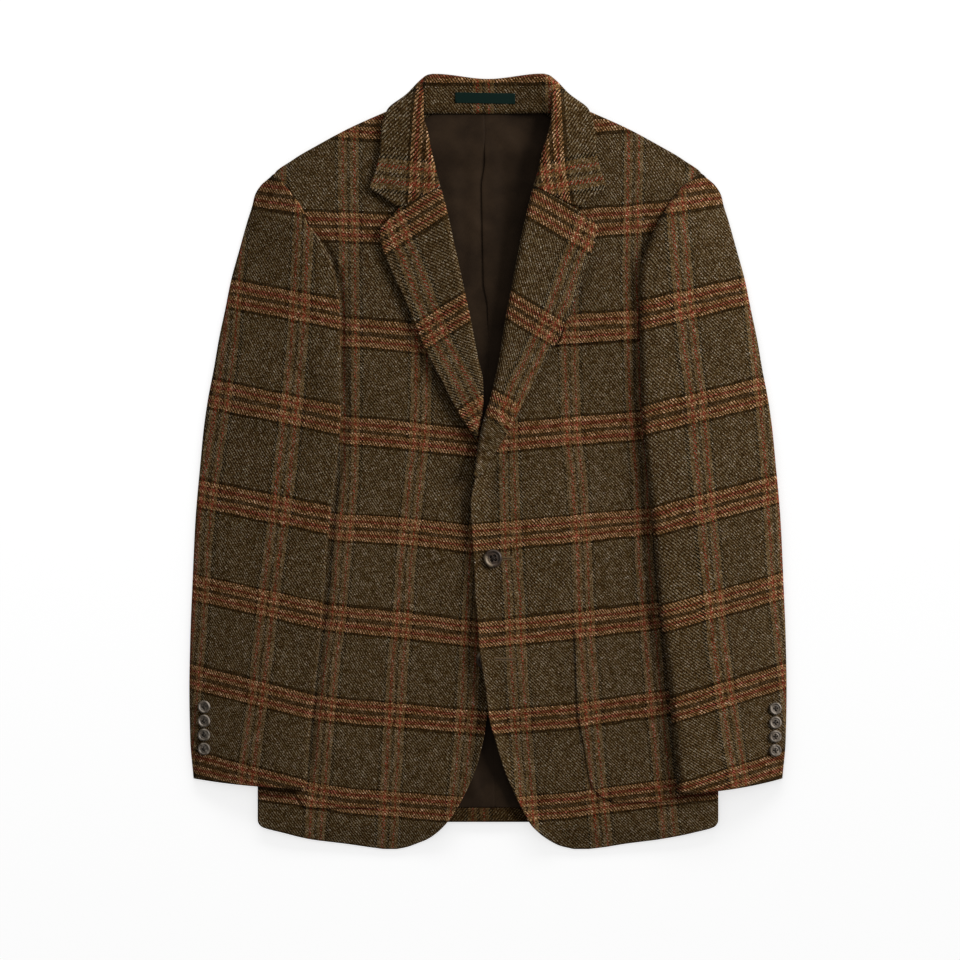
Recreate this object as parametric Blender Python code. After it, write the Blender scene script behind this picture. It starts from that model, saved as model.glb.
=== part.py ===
"""A tweed hacking jacket laid flat on its back, fastened with one button.

Lengths in the tables are millimetres. x runs towards the wearer's left, y towards the collar and
z up, from the middle of the jacket's outline on the surface it lies on. The wearer's left front
laps over the right one.
"""

import math

import bmesh
import bpy
import numpy as np
from mathutils import Euler, Matrix, Vector

MM = 0.001
RIGHT, LEFT = -1, 1

# ---------------------------------------------------------------------------------------------
# Walls, and the air between one layer and the next
# ---------------------------------------------------------------------------------------------
BACK_WALL = 2.0
LINING_WALL = 1.0
TURNUP_WALL = 1.6
FRONT_WALL = 2.8
LAPEL_WALL = 3.0
COLLAR_WALL = 2.6
UNDER_SLEEVE_WALL = 1.8
TOP_SLEEVE_WALL = 2.4
POCKET_WALL = 2.0
WELT_WALL = 1.4
LABEL_WALL = 0.6
SEAM = 0.3
LAY = 0.4

# ---------------------------------------------------------------------------------------------
# Edges: each row is a height y and the edge's x there. Body edges count out from the centre line
# ---------------------------------------------------------------------------------------------
SHOULDER = ((368, 106), (350, 146), (332, 179.5), (317, 205), (301, 224.5))
SIDE_SEAM = (
    (157, 233),
    (138, 237),
    (65, 231),
    (-20, 225),
    (-105, 227),
    (-190, 233),
    (-275, 239),
    (-345, 242),
    (-377, 242),
    (-383, 239),
)
ARMHOLE = {
    RIGHT: ((290, 214), (278, 204), (264, 195), (248, 190), (227, 189), (206, 194), (185, 206)),
    LEFT: ((290, 206), (278, 196), (264, 187), (248, 178), (227, 175), (206, 184), (185, 200)),
}
# The rows where the sleeve's seam shows; below them its front fold covers the armhole
ARMHOLE_SEAM_ROWS = 4
FRONT_HEM = {
    RIGHT: ((-391, 212), (-397, 187), (-402, 148), (-405.5, 124), (-407.4, 110)),
    LEFT: ((-391, 212), (-397, 181), (-402, 143), (-405.5, 122), (-407.4, 106)),
}
# The line where each front turns back into its lapel
ROLL = {
    RIGHT: (
        (395, -65),
        (364, -65),
        (348, -61),
        (327, -57),
        (306, -52),
        (288, -49.5),
        (264, -43.5),
        (232, -38),
        (191, -29.5),
        (149, -20),
        (107, -11),
        (86, -5.5),
        (65, -4),
        (44, -6.5),
        (22, -11.5),
    ),
    LEFT: (
        (395, 65),
        (364, 65),
        (348, 63),
        (327, 58),
        (306, 53),
        (288, 48),
        (264, 41),
        (232, 32.5),
        (191, 24),
        (149, 16),
        (107, 10.5),
        (86, 6),
        (65, 1),
        (44, -5),
        (23, -9.5),
        (2, -12.6),
        (-15, -15.4),
    ),
}
# Below the roll: the lapped edge of each front, then the cutaway down to the hem
FRONT_EDGE = {
    RIGHT: (
        (38, -11),
        (24, 0),
        (4, 16),
        (-45, 21),
        (-103, 21),
        (-166, 20),
        (-208, 15),
        (-240, 8),
        (-269, -1),
        (-287, -3.7),
        (-303, -7.4),
        (-319, -11.6),
        (-338, -19),
        (-355, -27.3),
        (-368, -34.6),
        (-378, -42),
        (-389, -52.5),
        (-396.5, -63),
        (-402, -76),
        (-405.5, -86),
        (-407.4, -96),
    ),
    LEFT: (
        (-45, -18.4),
        (-72, -17.3),
        (-96, -15.7),
        (-147, -13.2),
        (-171, -11),
        (-195, -9.5),
        (-215, -6.5),
        (-238, -3),
        (-269, 1),
        (-292, 7.4),
        (-310, 12.6),
        (-329, 19),
        (-345, 26),
        (-359, 32.6),
        (-371, 39),
        (-380, 44),
        (-391, 54.6),
        (-398.5, 65),
        (-404, 76),
        (-407.4, 90),
    ),
}
LAPEL_EDGE = {
    RIGHT: (
        (285.5, -53.5),
        (277, -71.5),
        (266, -93),
        (253, -105),
        (243, -113.5),
        (227, -112),
        (201, -102),
        (164, -84),
        (128, -70),
        (88, -49),
        (52, -31.5),
        (38, -22.5),
        (24, -13.5),
    ),
    LEFT: (
        (285.5, 53.5),
        (277, 71),
        (266, 91),
        (256, 104),
        (246, 115.5),
        (220, 107),
        (190, 94.5),
        (154, 83),
        (128, 73.5),
        (107, 58),
        (80, 42),
        (52, 28),
        (15, 10.5),
        (-1, 1),
        (-15, -8.5),
    ),
}
COLLAR_EDGE = (
    (403, 69),
    (398, 74.5),
    (388, 84),
    (369, 106),
    (350, 112),
    (327, 113.5),
    (306, 118),
    (286, 124),
    (280, 114),
    (273, 104),
    (268, 97),
)
# Below the collar's inner end the two meet along the gorge seam
GORGE = ((288, 50), (280, 65.5), (273, 79.5), (268, 89.5))
SLEEVE_OUTER = (
    (298, 230),
    (290, 239),
    (280, 245),
    (268, 248),
    (254, 252.5),
    (222, 261.5),
    (191, 270),
    (159, 276.5),
    (128, 283),
    (96, 288.5),
    (65, 294.5),
    (33, 299),
    (2, 302),
    (-61, 307.5),
    (-124, 310.5),
    (-187, 313),
    (-240, 313.95),
    (-292, 313),
    (-333, 309.5),
)
SLEEVE_FOLD = {
    RIGHT: (
        (235, 175),
        (208, 162),
        (187, 156),
        (160, 153),
        (54, 152),
        (-2, 156),
        (-50, 162),
        (-89, 166),
        (-145, 170),
        (-224, 178),
        (-276, 184),
        (-333, 188),
    ),
    LEFT: (
        (235, 171),
        (208, 161),
        (187, 158.5),
        (160, 159),
        (54, 161),
        (-2, 166),
        (-50, 171),
        (-89, 174.5),
        (-145, 179),
        (-224, 189),
        (-276, 194),
        (-333, 198.5),
    ),
}
POCKET_INNER = {
    RIGHT: ((-180, -84), (-261, -83), (-324, -89), (-345, -93), (-357, -103), (-364, -120)),
    LEFT: ((-176, 91), (-253, 93), (-300, 101), (-338, 108), (-351, 118), (-358, 133)),
}
WELT_INNER = ((155, 84.5), (143, 80.5), (129, 76.5), (122, 71.5))

# ---------------------------------------------------------------------------------------------
# Rows at which each piece is cut, from the collar end down
# ---------------------------------------------------------------------------------------------
FRONT_ROWS = (
    (368, 350, 332, 317, 301, 290, 278, 264, 248, 227, 206, 185, 157, 128, 100, 70, 44, 22)
    + (4, -45, -96, -147, -180, -208, -238, -269, -292, -319, -345, -362, -377, -384, -391)
    + (-397, -402, -405.5, -407.4)
)
BACK_ROWS = (366, 350, 332, 317, 301, 278, 248, 227, 206, 185, 157, 65, -20, -190, -377.5)
LINING_ROWS = (366, 350, 332, 317, 301, 278, 227, 190, 160, 125, 65, -20, -190, -345, -363.5)
SLEEVE_ROWS = (
    (298, 290, 278, 264, 248, 235, 227, 206, 185, 157, 128, 90, 45, -2, -50)
    + (-100, -150, -200, -245, -290, -333)
)
LEAF_ROWS = (403, 398, 388, 369, 350, 327, 306, 288, 286, 280, 273, 268)
LAPEL_ROWS = {
    RIGHT: (285.5, 277, 266, 253, 243, 227, 201, 164, 128, 88, 65, 52, 38, 24),
    LEFT: (285.5, 277, 266, 256, 246, 220, 190, 154, 128, 107, 80, 52, 15, -1, -15),
}
LAPEL_COLUMNS = (0, 0.12, 0.4, 0.7)
LEAF_COLUMNS = (0, 0.14, 0.34, 0.6, 0.84, 1)
PANEL_COLUMNS = (0, 0.05, 0.15, 0.33, 0.52, 0.7, 0.86, 1)
SLEEVE_COLUMNS = (0, 0.03, 0.08, 0.18, 0.32, 0.6, 0.92, 1)

# ---------------------------------------------------------------------------------------------
# How the layers rest on each other: a pair is the stretch over which a height comes in
# ---------------------------------------------------------------------------------------------
COLLAR_HALF = 64.6
BACK_LIFT = COLLAR_WALL + LAY
BACK_LIFTED = (301, 332)

FRONT_REST = 4.4
CHEST_PUFF = 2.6
CHEST = (170, 262)
SHOULDER_ROUND = (0, 34)
SIDE_DROP = 1.6
SIDE_ROUND = (0, 16)
SLEEVE_HEAD = (230, 290)
OVERLAP_LIFT = FRONT_WALL + 0.6
OVERLAP_TOP = (36, 96)
OVERLAP_FOOT = (-318, -262)
OVERLAP_REACH = (30, 150)
BUTTON_LIFT = 3.9
BUTTON_SPREAD = 34
BUTTON_REACH = (12, 80)
HEM_ON_TABLE = (-409, -380)

LAPEL_LIFT = 2.4
LAPEL_LAY = 0.8
LAPEL_BEND = 3.0
ROLL_RISE = 1.6
ROLL_INSET = LAPEL_WALL + 2.5 * LAY
# A front's inner edge lies inside its lapel's roll down to these heights
ROLL_WRAP_END = {RIGHT: 40, LEFT: -14}
# Around these heights the roll comes off its front's edge and onto the other front
ROLL_LEAVES = {RIGHT: (48, 64), LEFT: (0, 16)}

LEAF_LAY = 1.2
EAR_REST = 6.4
EAR_TIP_RISE = 1.2
EAR = (368, 400)
LEAF_CURL = (370, 384)
LEAF_CURL_WIDTH = (-2, 13)
LEAF_CURL_REST = 0.6

SLEEVE_CROWN = 2.6
SLEEVE_ROLL = (0, 10)
SLEEVE_FLAT = 4
SLEEVE_RISE = 52
# The height of the under sleeve where it lies on the front, by the row's height
SLEEVE_REST = (
    (298, 4.2),
    (264, 6.6),
    (250, 10),
    (220, 9.8),
    (90, 9.6),
    (30, 8.6),
    (-130, 8.6),
    (-168, 10.6),
    (-343, 10.6),
)
CUFF_DROP = 10
CUFF_CURVE = (-140, -333)

FRONT_BUTTON = {"radius": 9.9, "height": 3.8, "at": (5, -102), "turn": 12}
LOWER_BUTTON = {"radius": 9.9, "height": 3.1, "at": (-2.6, -208)}
CUFF_BUTTON = {"radius": 6.6, "height": 2.8, "pitch": 14.4, "shank": 0.9}
CUFF_BUTTONS_FIRST = {RIGHT: (-298, -258), LEFT: (302, -261)}
CUFF_BUTTONS_PER_SLEEVE = 4

# name: base colour, roughness
FINISHES = {
    "tweed": ((0.128, 0.089, 0.045), 0.9),
    "lining": ((0.040, 0.029, 0.022), 0.5),
    "label": ((0.008, 0.045, 0.036), 0.6),
    "horn": ((0.055, 0.040, 0.028), 0.35),
}


def ease(low, high, value):
    """0 at low and 1 at high, with a smooth rise between, whichever is the greater."""
    share = min(1.0, max(0.0, (value - low) / (high - low)))
    return share * share * (3 - 2 * share)


def edge(line, y):
    """The edge's x at height y."""
    heights, places = zip(*sorted(line))
    return float(np.interp(y, heights, places))


def body_edge(side, y, hem=False):
    """How far the body reaches from the centre line: shoulder, armhole, then side seam."""
    line = SHOULDER + ARMHOLE[side] + SIDE_SEAM + (FRONT_HEM[side] if hem else ())
    return edge(line, y)


def sleeve_inner(side, y):
    """The armhole seam, and below it the sleeve's front fold."""
    armhole = tuple((height, place + 5 * SEAM) for height, place in ARMHOLE[side])
    crown = ((298, 226),) + armhole[:ARMHOLE_SEAM_ROWS]
    return edge(crown + SLEEVE_FOLD[side], y)


# ---------------------------------------------------------------------------------------------
# The surface that each layer rests on
# ---------------------------------------------------------------------------------------------
def back_rest(x, y):
    """Flat on the table, and raised where it lies on the collar's fall."""
    return BACK_LIFT * ease(*BACK_LIFTED, y)


def lining_rest(x, y):
    return back_rest(x, y) + BACK_WALL + LAY


def shoulder_distance(x, y):
    """How far a point lies below the shoulder's folded edge."""
    return edge(tuple((x_out, height) for height, x_out in SHOULDER) + ((60, 390),), abs(x)) - y


def front_rest(side, x, y):
    """The front lies on the lining, stands off it over the chest, and closes on the back all round."""
    rest = FRONT_REST + CHEST_PUFF * ease(*CHEST, y)
    at_edge = BACK_WALL + 2 * SEAM + back_rest(x, y)
    rest = at_edge + (rest - at_edge) * ease(*SHOULDER_ROUND, shoulder_distance(x, y))
    side_distance = body_edge(side, y) - side * x
    at_side = 1 - ease(*SIDE_ROUND, side_distance)
    rest -= SIDE_DROP * at_side * (1 - ease(*SLEEVE_HEAD, y))
    if side == LEFT:
        lapped = (1 - ease(*OVERLAP_TOP, y)) * ease(*OVERLAP_FOOT, y)
        rest += OVERLAP_LIFT * lapped * (1 - ease(*OVERLAP_REACH, x))
        over_button = math.exp(-(((y - LOWER_BUTTON["at"][1]) / BUTTON_SPREAD) ** 2))
        rest += BUTTON_LIFT * over_button * (1 - ease(*BUTTON_REACH, x))
    return rest * ease(*HEM_ON_TABLE, y)


def on_front(side, x, y):
    return front_rest(side, x, y) + FRONT_WALL + LAY


def under_sleeve_rest(side, x, y):
    """On the table at the sleeve's outer fold, rising over the side of the body."""
    outer = edge(SLEEVE_OUTER, y)
    rise = min(outer - body_edge(side, y) - SLEEVE_FLAT, SLEEVE_RISE)
    return edge(SLEEVE_REST, y) * ease(SLEEVE_FLAT, SLEEVE_FLAT + rise, outer - side * x)


def top_sleeve_rest(side, x, y):
    out = side * x
    from_fold = min(edge(SLEEVE_OUTER, y) - out, out - sleeve_inner(side, y))
    roll = ease(*SLEEVE_ROLL, from_fold)
    return under_sleeve_rest(side, x, y) + UNDER_SLEEVE_WALL + LAY + SLEEVE_CROWN * roll


# ---------------------------------------------------------------------------------------------
# Making one piece
# ---------------------------------------------------------------------------------------------
def finish(name):
    """The piece's own material, in the finish of its cloth."""
    colour, roughness = FINISHES[name]
    material = bpy.data.materials.new(name)
    material.use_nodes = True
    shader = material.node_tree.nodes["Principled BSDF"]
    shader.inputs["Base Color"].default_value = (*colour, 1)
    shader.inputs["Roughness"].default_value = roughness
    return material


def add_object(name, mesh, finish_name, smooth_angle=40):
    mesh.shade_smooth()
    mesh.set_sharp_from_angle(angle=math.radians(smooth_angle))
    mesh.materials.clear()
    mesh.materials.append(finish(finish_name))
    piece = bpy.data.objects.new(name, mesh)
    bpy.context.collection.objects.link(piece)
    piece.parent = jacket
    return piece


def cloth(name, rows, wall, finish_name, offset=1):
    """One cut piece. rows are rows of points of its underside; the wall grows up from them."""
    bm = bmesh.new()
    grid = [[bm.verts.new(Vector(point) * MM) for point in row] for row in rows]
    for above, below in zip(grid, grid[1:]):
        for corner in range(len(above) - 1):
            loop = (above[corner], below[corner], below[corner + 1], above[corner + 1])
            bm.faces.new(loop)
    bmesh.ops.recalc_face_normals(bm, faces=bm.faces)
    bm.normal_update()
    if sum(face.normal.z * face.calc_area() for face in bm.faces) < 0:
        bmesh.ops.reverse_faces(bm, faces=bm.faces)
    mesh = bpy.data.meshes.new(name)
    bm.to_mesh(mesh)
    bm.free()
    piece = add_object(name, mesh, finish_name)
    solid = piece.modifiers.new("wall", "SOLIDIFY")
    solid.thickness = wall * MM
    solid.offset = offset
    return piece


def between(first, last, columns, y, rest, drop=0):
    """A row of points from one edge to the other, each at its resting height."""
    points = []
    for share in columns:
        x = first + (last - first) * share
        points.append((x, y - drop * (1 - (1 - share) ** 2), rest(x, y)))
    return points


def side_name(side):
    return "right" if side == RIGHT else "left"


# ---------------------------------------------------------------------------------------------
# Back, its lining with the centre pleat, and the hem's turn-up
# ---------------------------------------------------------------------------------------------
HEM_Y = -377.5
TURNUP_TOP = -364
TURNUP_INSET = 34
BACK_COLUMNS = (0, 0.33, 0.66, 0.88, 1)
LINING_COLUMNS = (0, 0.06, 0.16, 0.3, 0.6, 1)
LINING_SHOULDER = ((366, 56), (350, 84), (332, 122), (310, 162))
LINING_INSET = 12
PLEAT_LAP = 8
PLEAT_REACH = (6, 22)
# The pleat closes over the upper pair of heights and runs out over the lower pair
PLEAT_TOP = (287, 317)
PLEAT_END = (160, 190)
PLEAT_LIFT_TOP = (317, 342)
PLEAT_LIFT_END = (125, 160)
LINING_SEAM = ((366, -4), (317, -3), (160, 0), (-365, 7))


def make_back(side):
    def row(y):
        inner = side * SEAM / 2
        return between(inner, side * body_edge(side, y), BACK_COLUMNS, y, back_rest)

    cloth("back_" + side_name(side), [row(y) for y in BACK_ROWS], BACK_WALL, "tweed")


def lining_edge(side, y):
    return min(edge(LINING_SHOULDER, y), body_edge(side, y) - LINING_INSET)


def make_lining(side):
    """The left half laps over the right along the pleat, down to the waist."""

    def row(y):
        seam = edge(LINING_SEAM, y)
        lap = PLEAT_LAP * ease(*PLEAT_END, y) * (1 - ease(*PLEAT_TOP, y))
        inner = seam - side * lap / 2 + side * SEAM / 2

        def rest(x, height):
            opened = ease(*PLEAT_LIFT_END, height) * (1 - ease(*PLEAT_LIFT_TOP, height))
            lap_lift = (LINING_WALL + SEAM) * opened * (1 - ease(*PLEAT_REACH, x - seam))
            return lining_rest(x, height) + (lap_lift if side == LEFT else 0)

        return between(inner, side * lining_edge(side, y), LINING_COLUMNS, y, rest)

    cloth("back_lining_" + side_name(side), [row(y) for y in LINING_ROWS], LINING_WALL, "lining")


def make_hem_turnup():
    reach = body_edge(RIGHT, HEM_Y) - TURNUP_INSET
    columns = np.linspace(0, 1, 9)
    rows = [between(-reach, reach, columns, y, lining_rest) for y in (TURNUP_TOP, HEM_Y)]
    cloth("back_hem_turnup", rows, TURNUP_WALL, "tweed")


# ---------------------------------------------------------------------------------------------
# Fronts, with the lapels turned back over them
# ---------------------------------------------------------------------------------------------
def front_inner(side, y):
    """The front's inner edge: inside the lapel's roll, then the lapped edge and the cutaway."""
    wrapped = [row for row in ROLL[side] if row[0] > ROLL_WRAP_END[side]]
    roll = tuple((height, place + side * ROLL_INSET) for height, place in wrapped)
    return edge(roll + FRONT_EDGE[side], y)


def make_front(side):
    def row(y):
        outer = side * body_edge(side, y, hem=True)
        return between(
            front_inner(side, y),
            outer,
            PANEL_COLUMNS,
            y,
            lambda x, height: front_rest(side, x, height),
        )

    cloth("front_" + side_name(side), [row(y) for y in FRONT_ROWS], FRONT_WALL, "tweed")


def lapel_rest(side, x, y, share):
    """share is 0 at the lapel's edge and 1 at its roll, where it stands highest off the front."""
    return on_front(side, x, y) + LAPEL_LAY - LAY + LAPEL_LIFT * share**ROLL_RISE


def lapel_row(side, y):
    """From the lapel's edge to the roll, then down around the front's inner edge."""
    outer = edge(LAPEL_EDGE[side], y)
    inner = edge(ROLL[side], y) + side * LAPEL_WALL
    points = []
    for share in LAPEL_COLUMNS:
        x = outer + (inner - outer) * share
        points.append((x, y, lapel_rest(side, x, y, share)))
    top = lapel_rest(side, inner, y, 1)
    over_the_other_front = 1 - ease(*ROLL_LEAVES[side], y)
    bottom = front_rest(side, inner, y) + 2 * SEAM + (FRONT_WALL + LAY) * over_the_other_front
    bend = min(LAPEL_BEND, abs(outer - inner) / 3)
    points.append((inner + side * bend, y, top))
    points.append((inner + side * bend * 0.3, y, top - bend * 0.3))
    points.append((inner, y, max(top - bend, bottom + 2 * SEAM)))
    points.append((inner, y, bottom))
    return points


def make_lapel(side):
    rows = [lapel_row(side, y) for y in LAPEL_ROWS[side]]
    cloth("lapel_" + side_name(side), rows, LAPEL_WALL, "tweed")


# ---------------------------------------------------------------------------------------------
# Collar: a folded stretch behind the neck and a leaf down each side
# ---------------------------------------------------------------------------------------------
NECK_SEAM_Y = 365.3
COLLAR_TOP_MIDDLE = 402
COLLAR_TOP_EAR = 407.4
FALL_END_Y = 352
GORGE_GAP = 1.4
GORGE_TOP_Y = 288
STAND_TOP = 9.8


def collar_top(x):
    return COLLAR_TOP_MIDDLE + (COLLAR_TOP_EAR - COLLAR_TOP_MIDDLE) * ease(0, 56, abs(x))


def make_collar_back():
    """The stand faces up, folds over at the top, and the fall lies under the back."""
    radius = (STAND_TOP - COLLAR_WALL) / 2
    rows = []
    for x in np.linspace(-COLLAR_HALF, COLLAR_HALF, 9):
        top = collar_top(x) - COLLAR_WALL / 2 - radius
        upper = [(x, y, COLLAR_WALL / 2 + 2 * radius) for y in (NECK_SEAM_Y, 380, top)]
        turn = [math.radians(angle) for angle in (60, 30, 0, -30, -60)]
        fold = [
            (x, top + radius * math.cos(a), COLLAR_WALL / 2 + radius * (1 + math.sin(a)))
            for a in turn
        ]
        lower = [(x, y, COLLAR_WALL / 2) for y in (top, 378, FALL_END_Y)]
        rows.append(upper + fold + lower)
    cloth("collar_back", rows, COLLAR_WALL, "tweed", offset=0)


def leaf_rest(side, x, y):
    """The leaf lies on the front, and curls down behind the shoulder beside the neck."""
    outer = edge(COLLAR_EDGE, y)
    inner = abs(edge(ROLL[side], y))
    share = min(1.0, max(0.0, (outer - abs(x)) / max(outer - inner, 1)))
    on_chest = on_front(side, x, min(y, NECK_SEAM_Y)) + LEAF_LAY - LAY
    on_chest += LAPEL_LIFT * share**ROLL_RISE
    ear = EAR_REST + EAR_TIP_RISE * (1 - ease(*EAR, y))
    level = on_chest + (ear - on_chest) * ease(*EAR, y)
    curl = ease(*LEAF_CURL_WIDTH, outer - abs(x))
    curled = LEAF_CURL_REST + (level - LEAF_CURL_REST) * curl
    return level + (curled - level) * ease(*LEAF_CURL, y)


def make_collar_leaf(side):
    def row(y):
        outer = side * edge(COLLAR_EDGE, y)
        inner = edge(ROLL[side], y) + side * 0.8
        if y < GORGE_TOP_Y:
            inner = side * (edge(GORGE, y) + GORGE_GAP)
        return between(outer, inner, LEAF_COLUMNS, y, lambda px, py: leaf_rest(side, px, py))

    rows = [row(y) for y in LEAF_ROWS]
    cloth("collar_leaf_" + side_name(side), rows, LAPEL_WALL, "tweed")


LABEL_ENDS = (-34.5, 28.5)
LABEL_EDGES_Y = (387.6, 376.4)
LABEL_SLANT = 1.2


def make_label():
    """A bare woven label, sewn to the stand a little out of level."""
    rows = []
    for y in LABEL_EDGES_Y:
        right, left = LABEL_ENDS
        rest = STAND_TOP + LAY
        middle = ((right + left) / 2, y - LABEL_SLANT / 2, rest)
        rows.append([(right, y, rest), middle, (left, y - LABEL_SLANT, rest)])
    cloth("neck_label", rows, LABEL_WALL, "label")


# ---------------------------------------------------------------------------------------------
# Sleeves: an under and a top half, which meet at the outer and the front fold
# ---------------------------------------------------------------------------------------------
def make_sleeve(side):
    parts = (
        ("under_sleeve_", under_sleeve_rest, UNDER_SLEEVE_WALL),
        ("top_sleeve_", top_sleeve_rest, TOP_SLEEVE_WALL),
    )
    for name, rest, wall in parts:
        rows = []
        for y in SLEEVE_ROWS:
            rows.append(
                between(
                    side * edge(SLEEVE_OUTER, y),
                    side * sleeve_inner(side, y),
                    SLEEVE_COLUMNS,
                    y,
                    lambda px, py, rest=rest: rest(side, px, py),
                    drop=CUFF_DROP * ease(*CUFF_CURVE, y),
                )
            )
        cloth(name + side_name(side), rows, wall, "tweed")


# ---------------------------------------------------------------------------------------------
# Patch pockets on the hips, and the breast welt
# ---------------------------------------------------------------------------------------------
POCKET_REACH = 205
POCKET_CORNER = 12
POCKET_CORNER_TOP = -350
POCKET_MIDDLE_ROWS = (-210, -290)
POCKET_COLUMNS = (0, 0.12, 0.35, 0.6, 0.82, 1)
POCKET_LAY = 0.25
WELT_END = 172
WELT_SLOPE = 8
WELT_COLUMNS = (0, 0.33, 0.66, 1)


def make_hip_pocket(side):
    heights = [height for height, _ in POCKET_INNER[side]] + list(POCKET_MIDDLE_ROWS)
    rows = []
    for y in sorted(heights, reverse=True):
        corner = POCKET_CORNER if y < POCKET_CORNER_TOP else 0
        rows.append(
            between(
                edge(POCKET_INNER[side], y),
                side * (POCKET_REACH - corner),
                POCKET_COLUMNS,
                y,
                lambda px, py: on_front(side, px, py) + POCKET_LAY,
            )
        )
    cloth("hip_pocket_" + side_name(side), rows, POCKET_WALL, "tweed")


def make_breast_welt():
    """It slopes up towards the armhole, where the sleeve covers its end."""
    rows = []
    for y, inner in WELT_INNER[:1] + WELT_INNER[-1:]:
        points = []
        for share in WELT_COLUMNS:
            x = inner + (WELT_END - inner) * share
            height = y + WELT_SLOPE * share
            points.append((x, height, on_front(LEFT, x, height)))
        rows.append(points)
    cloth("breast_welt", rows, WELT_WALL, "tweed")


# ---------------------------------------------------------------------------------------------
# Four-hole horn buttons
# ---------------------------------------------------------------------------------------------
# The half section: share of the radius, share of the height
BUTTON_SECTION = ((0, 0), (0.72, 0), (1, 0.35), (1, 0.72), (0.86, 1), (0.66, 0.74), (0, 0.74))
HOLES = 4
HOLE_PLACE = 0.24
HOLE_RADIUS = 0.1


def button_mesh(radius, height, segments, hole_segments):
    """A turned disc with a raised rim and four holes, standing on z = 0."""
    bm = bmesh.new()
    points = [bm.verts.new((r * radius * MM, 0, z * height * MM)) for r, z in BUTTON_SECTION]
    edges = [bm.edges.new(pair) for pair in zip(points, points[1:])]
    bmesh.ops.spin(
        bm,
        geom=points + edges,
        axis=(0, 0, 1),
        cent=(0, 0, 0),
        angle=math.tau,
        steps=segments,
        use_merge=True,
    )
    bmesh.ops.remove_doubles(bm, verts=bm.verts, dist=1e-6)
    bmesh.ops.recalc_face_normals(bm, faces=bm.faces)
    mesh = bpy.data.meshes.new("button")
    bm.to_mesh(mesh)
    bm.free()

    blank = bpy.data.objects.new("button_blank", mesh)
    bpy.context.collection.objects.link(blank)
    drill_mesh = bpy.data.meshes.new("drill")
    bm = bmesh.new()
    for corner in range(HOLES):
        angle = math.tau * (corner + 0.5) / HOLES
        place = Vector((math.cos(angle), math.sin(angle), 0)) * radius * HOLE_PLACE * MM
        bmesh.ops.create_cone(
            bm,
            cap_ends=True,
            segments=hole_segments,
            radius1=radius * HOLE_RADIUS * MM,
            radius2=radius * HOLE_RADIUS * MM,
            depth=4 * height * MM,
            matrix=Matrix.Translation(place),
        )
    bm.to_mesh(drill_mesh)
    bm.free()
    drill = bpy.data.objects.new("button_drill", drill_mesh)
    bpy.context.collection.objects.link(drill)
    drill.hide_render = True
    drill.display_type = "WIRE"
    cut = blank.modifiers.new("holes", "BOOLEAN")
    cut.operation = "DIFFERENCE"
    cut.object = drill
    graph = bpy.context.evaluated_depsgraph_get()
    drilled = bpy.data.meshes.new_from_object(blank.evaluated_get(graph))
    bpy.data.objects.remove(blank)
    bpy.data.objects.remove(drill)
    return drilled


def surface_tilt(rest, x, y, step=3):
    """The turn that lays a flat piece along a resting surface."""
    slope_x = (rest(x + step, y) - rest(x - step, y)) / (2 * step)
    slope_y = (rest(x, y + step) - rest(x, y - step)) / (2 * step)
    normal = Vector((-slope_x, -slope_y, 1)).normalized()
    return Vector((0, 0, 1)).rotation_difference(normal)


def make_button(name, mesh, x, y, rest, turn=0.0):
    button = add_object(name, mesh.copy(), "horn", smooth_angle=35)
    tilt = surface_tilt(rest, x, y)
    spin = Euler((0, 0, math.radians(turn))).to_quaternion()
    button.rotation_mode = "QUATERNION"
    button.rotation_quaternion = tilt @ spin
    button.location = Vector((x, y, rest(x, y))) * MM
    return button


def make_buttons():
    upper = button_mesh(FRONT_BUTTON["radius"], FRONT_BUTTON["height"], 20, 6)
    lower = button_mesh(LOWER_BUTTON["radius"], LOWER_BUTTON["height"], 16, 4)
    small = button_mesh(CUFF_BUTTON["radius"], CUFF_BUTTON["height"], 12, 4)
    turn = FRONT_BUTTON["turn"]
    make_button("front_button", upper, *FRONT_BUTTON["at"], lambda x, y: on_front(LEFT, x, y), turn)
    make_button("lower_button", lower, *LOWER_BUTTON["at"], lambda x, y: on_front(RIGHT, x, y))
    for side, (x, y) in CUFF_BUTTONS_FIRST.items():
        for count in range(CUFF_BUTTONS_PER_SLEEVE):
            make_button(
                f"cuff_button_{side_name(side)}_{count + 1}",
                small,
                x,
                y - count * CUFF_BUTTON["pitch"],
                lambda px, py, side=side: top_sleeve_rest(side, px, py)
                + TOP_SLEEVE_WALL
                + CUFF_BUTTON["shank"],
            )


for old in list(bpy.data.objects):
    bpy.data.objects.remove(old)
jacket = bpy.data.objects.new("jacket", None)
bpy.context.collection.objects.link(jacket)

for wearer_side in (RIGHT, LEFT):
    make_back(wearer_side)
    make_lining(wearer_side)
    make_front(wearer_side)
    make_lapel(wearer_side)
    make_collar_leaf(wearer_side)
    make_sleeve(wearer_side)
    make_hip_pocket(wearer_side)
make_hem_turnup()
make_collar_back()
make_label()
make_breast_welt()
make_buttons()
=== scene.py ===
"""A tweed hacking jacket laid flat on its back, fastened with one button.

Lengths in the tables are millimetres. x runs towards the wearer's left, y towards the collar and
z up, from the middle of the jacket's outline on the surface it lies on. The wearer's left front
laps over the right one.
"""

import math
from functools import partial

import bpy
import numpy as np
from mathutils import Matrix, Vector
from mathutils.geometry import delaunay_2d_cdt


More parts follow.
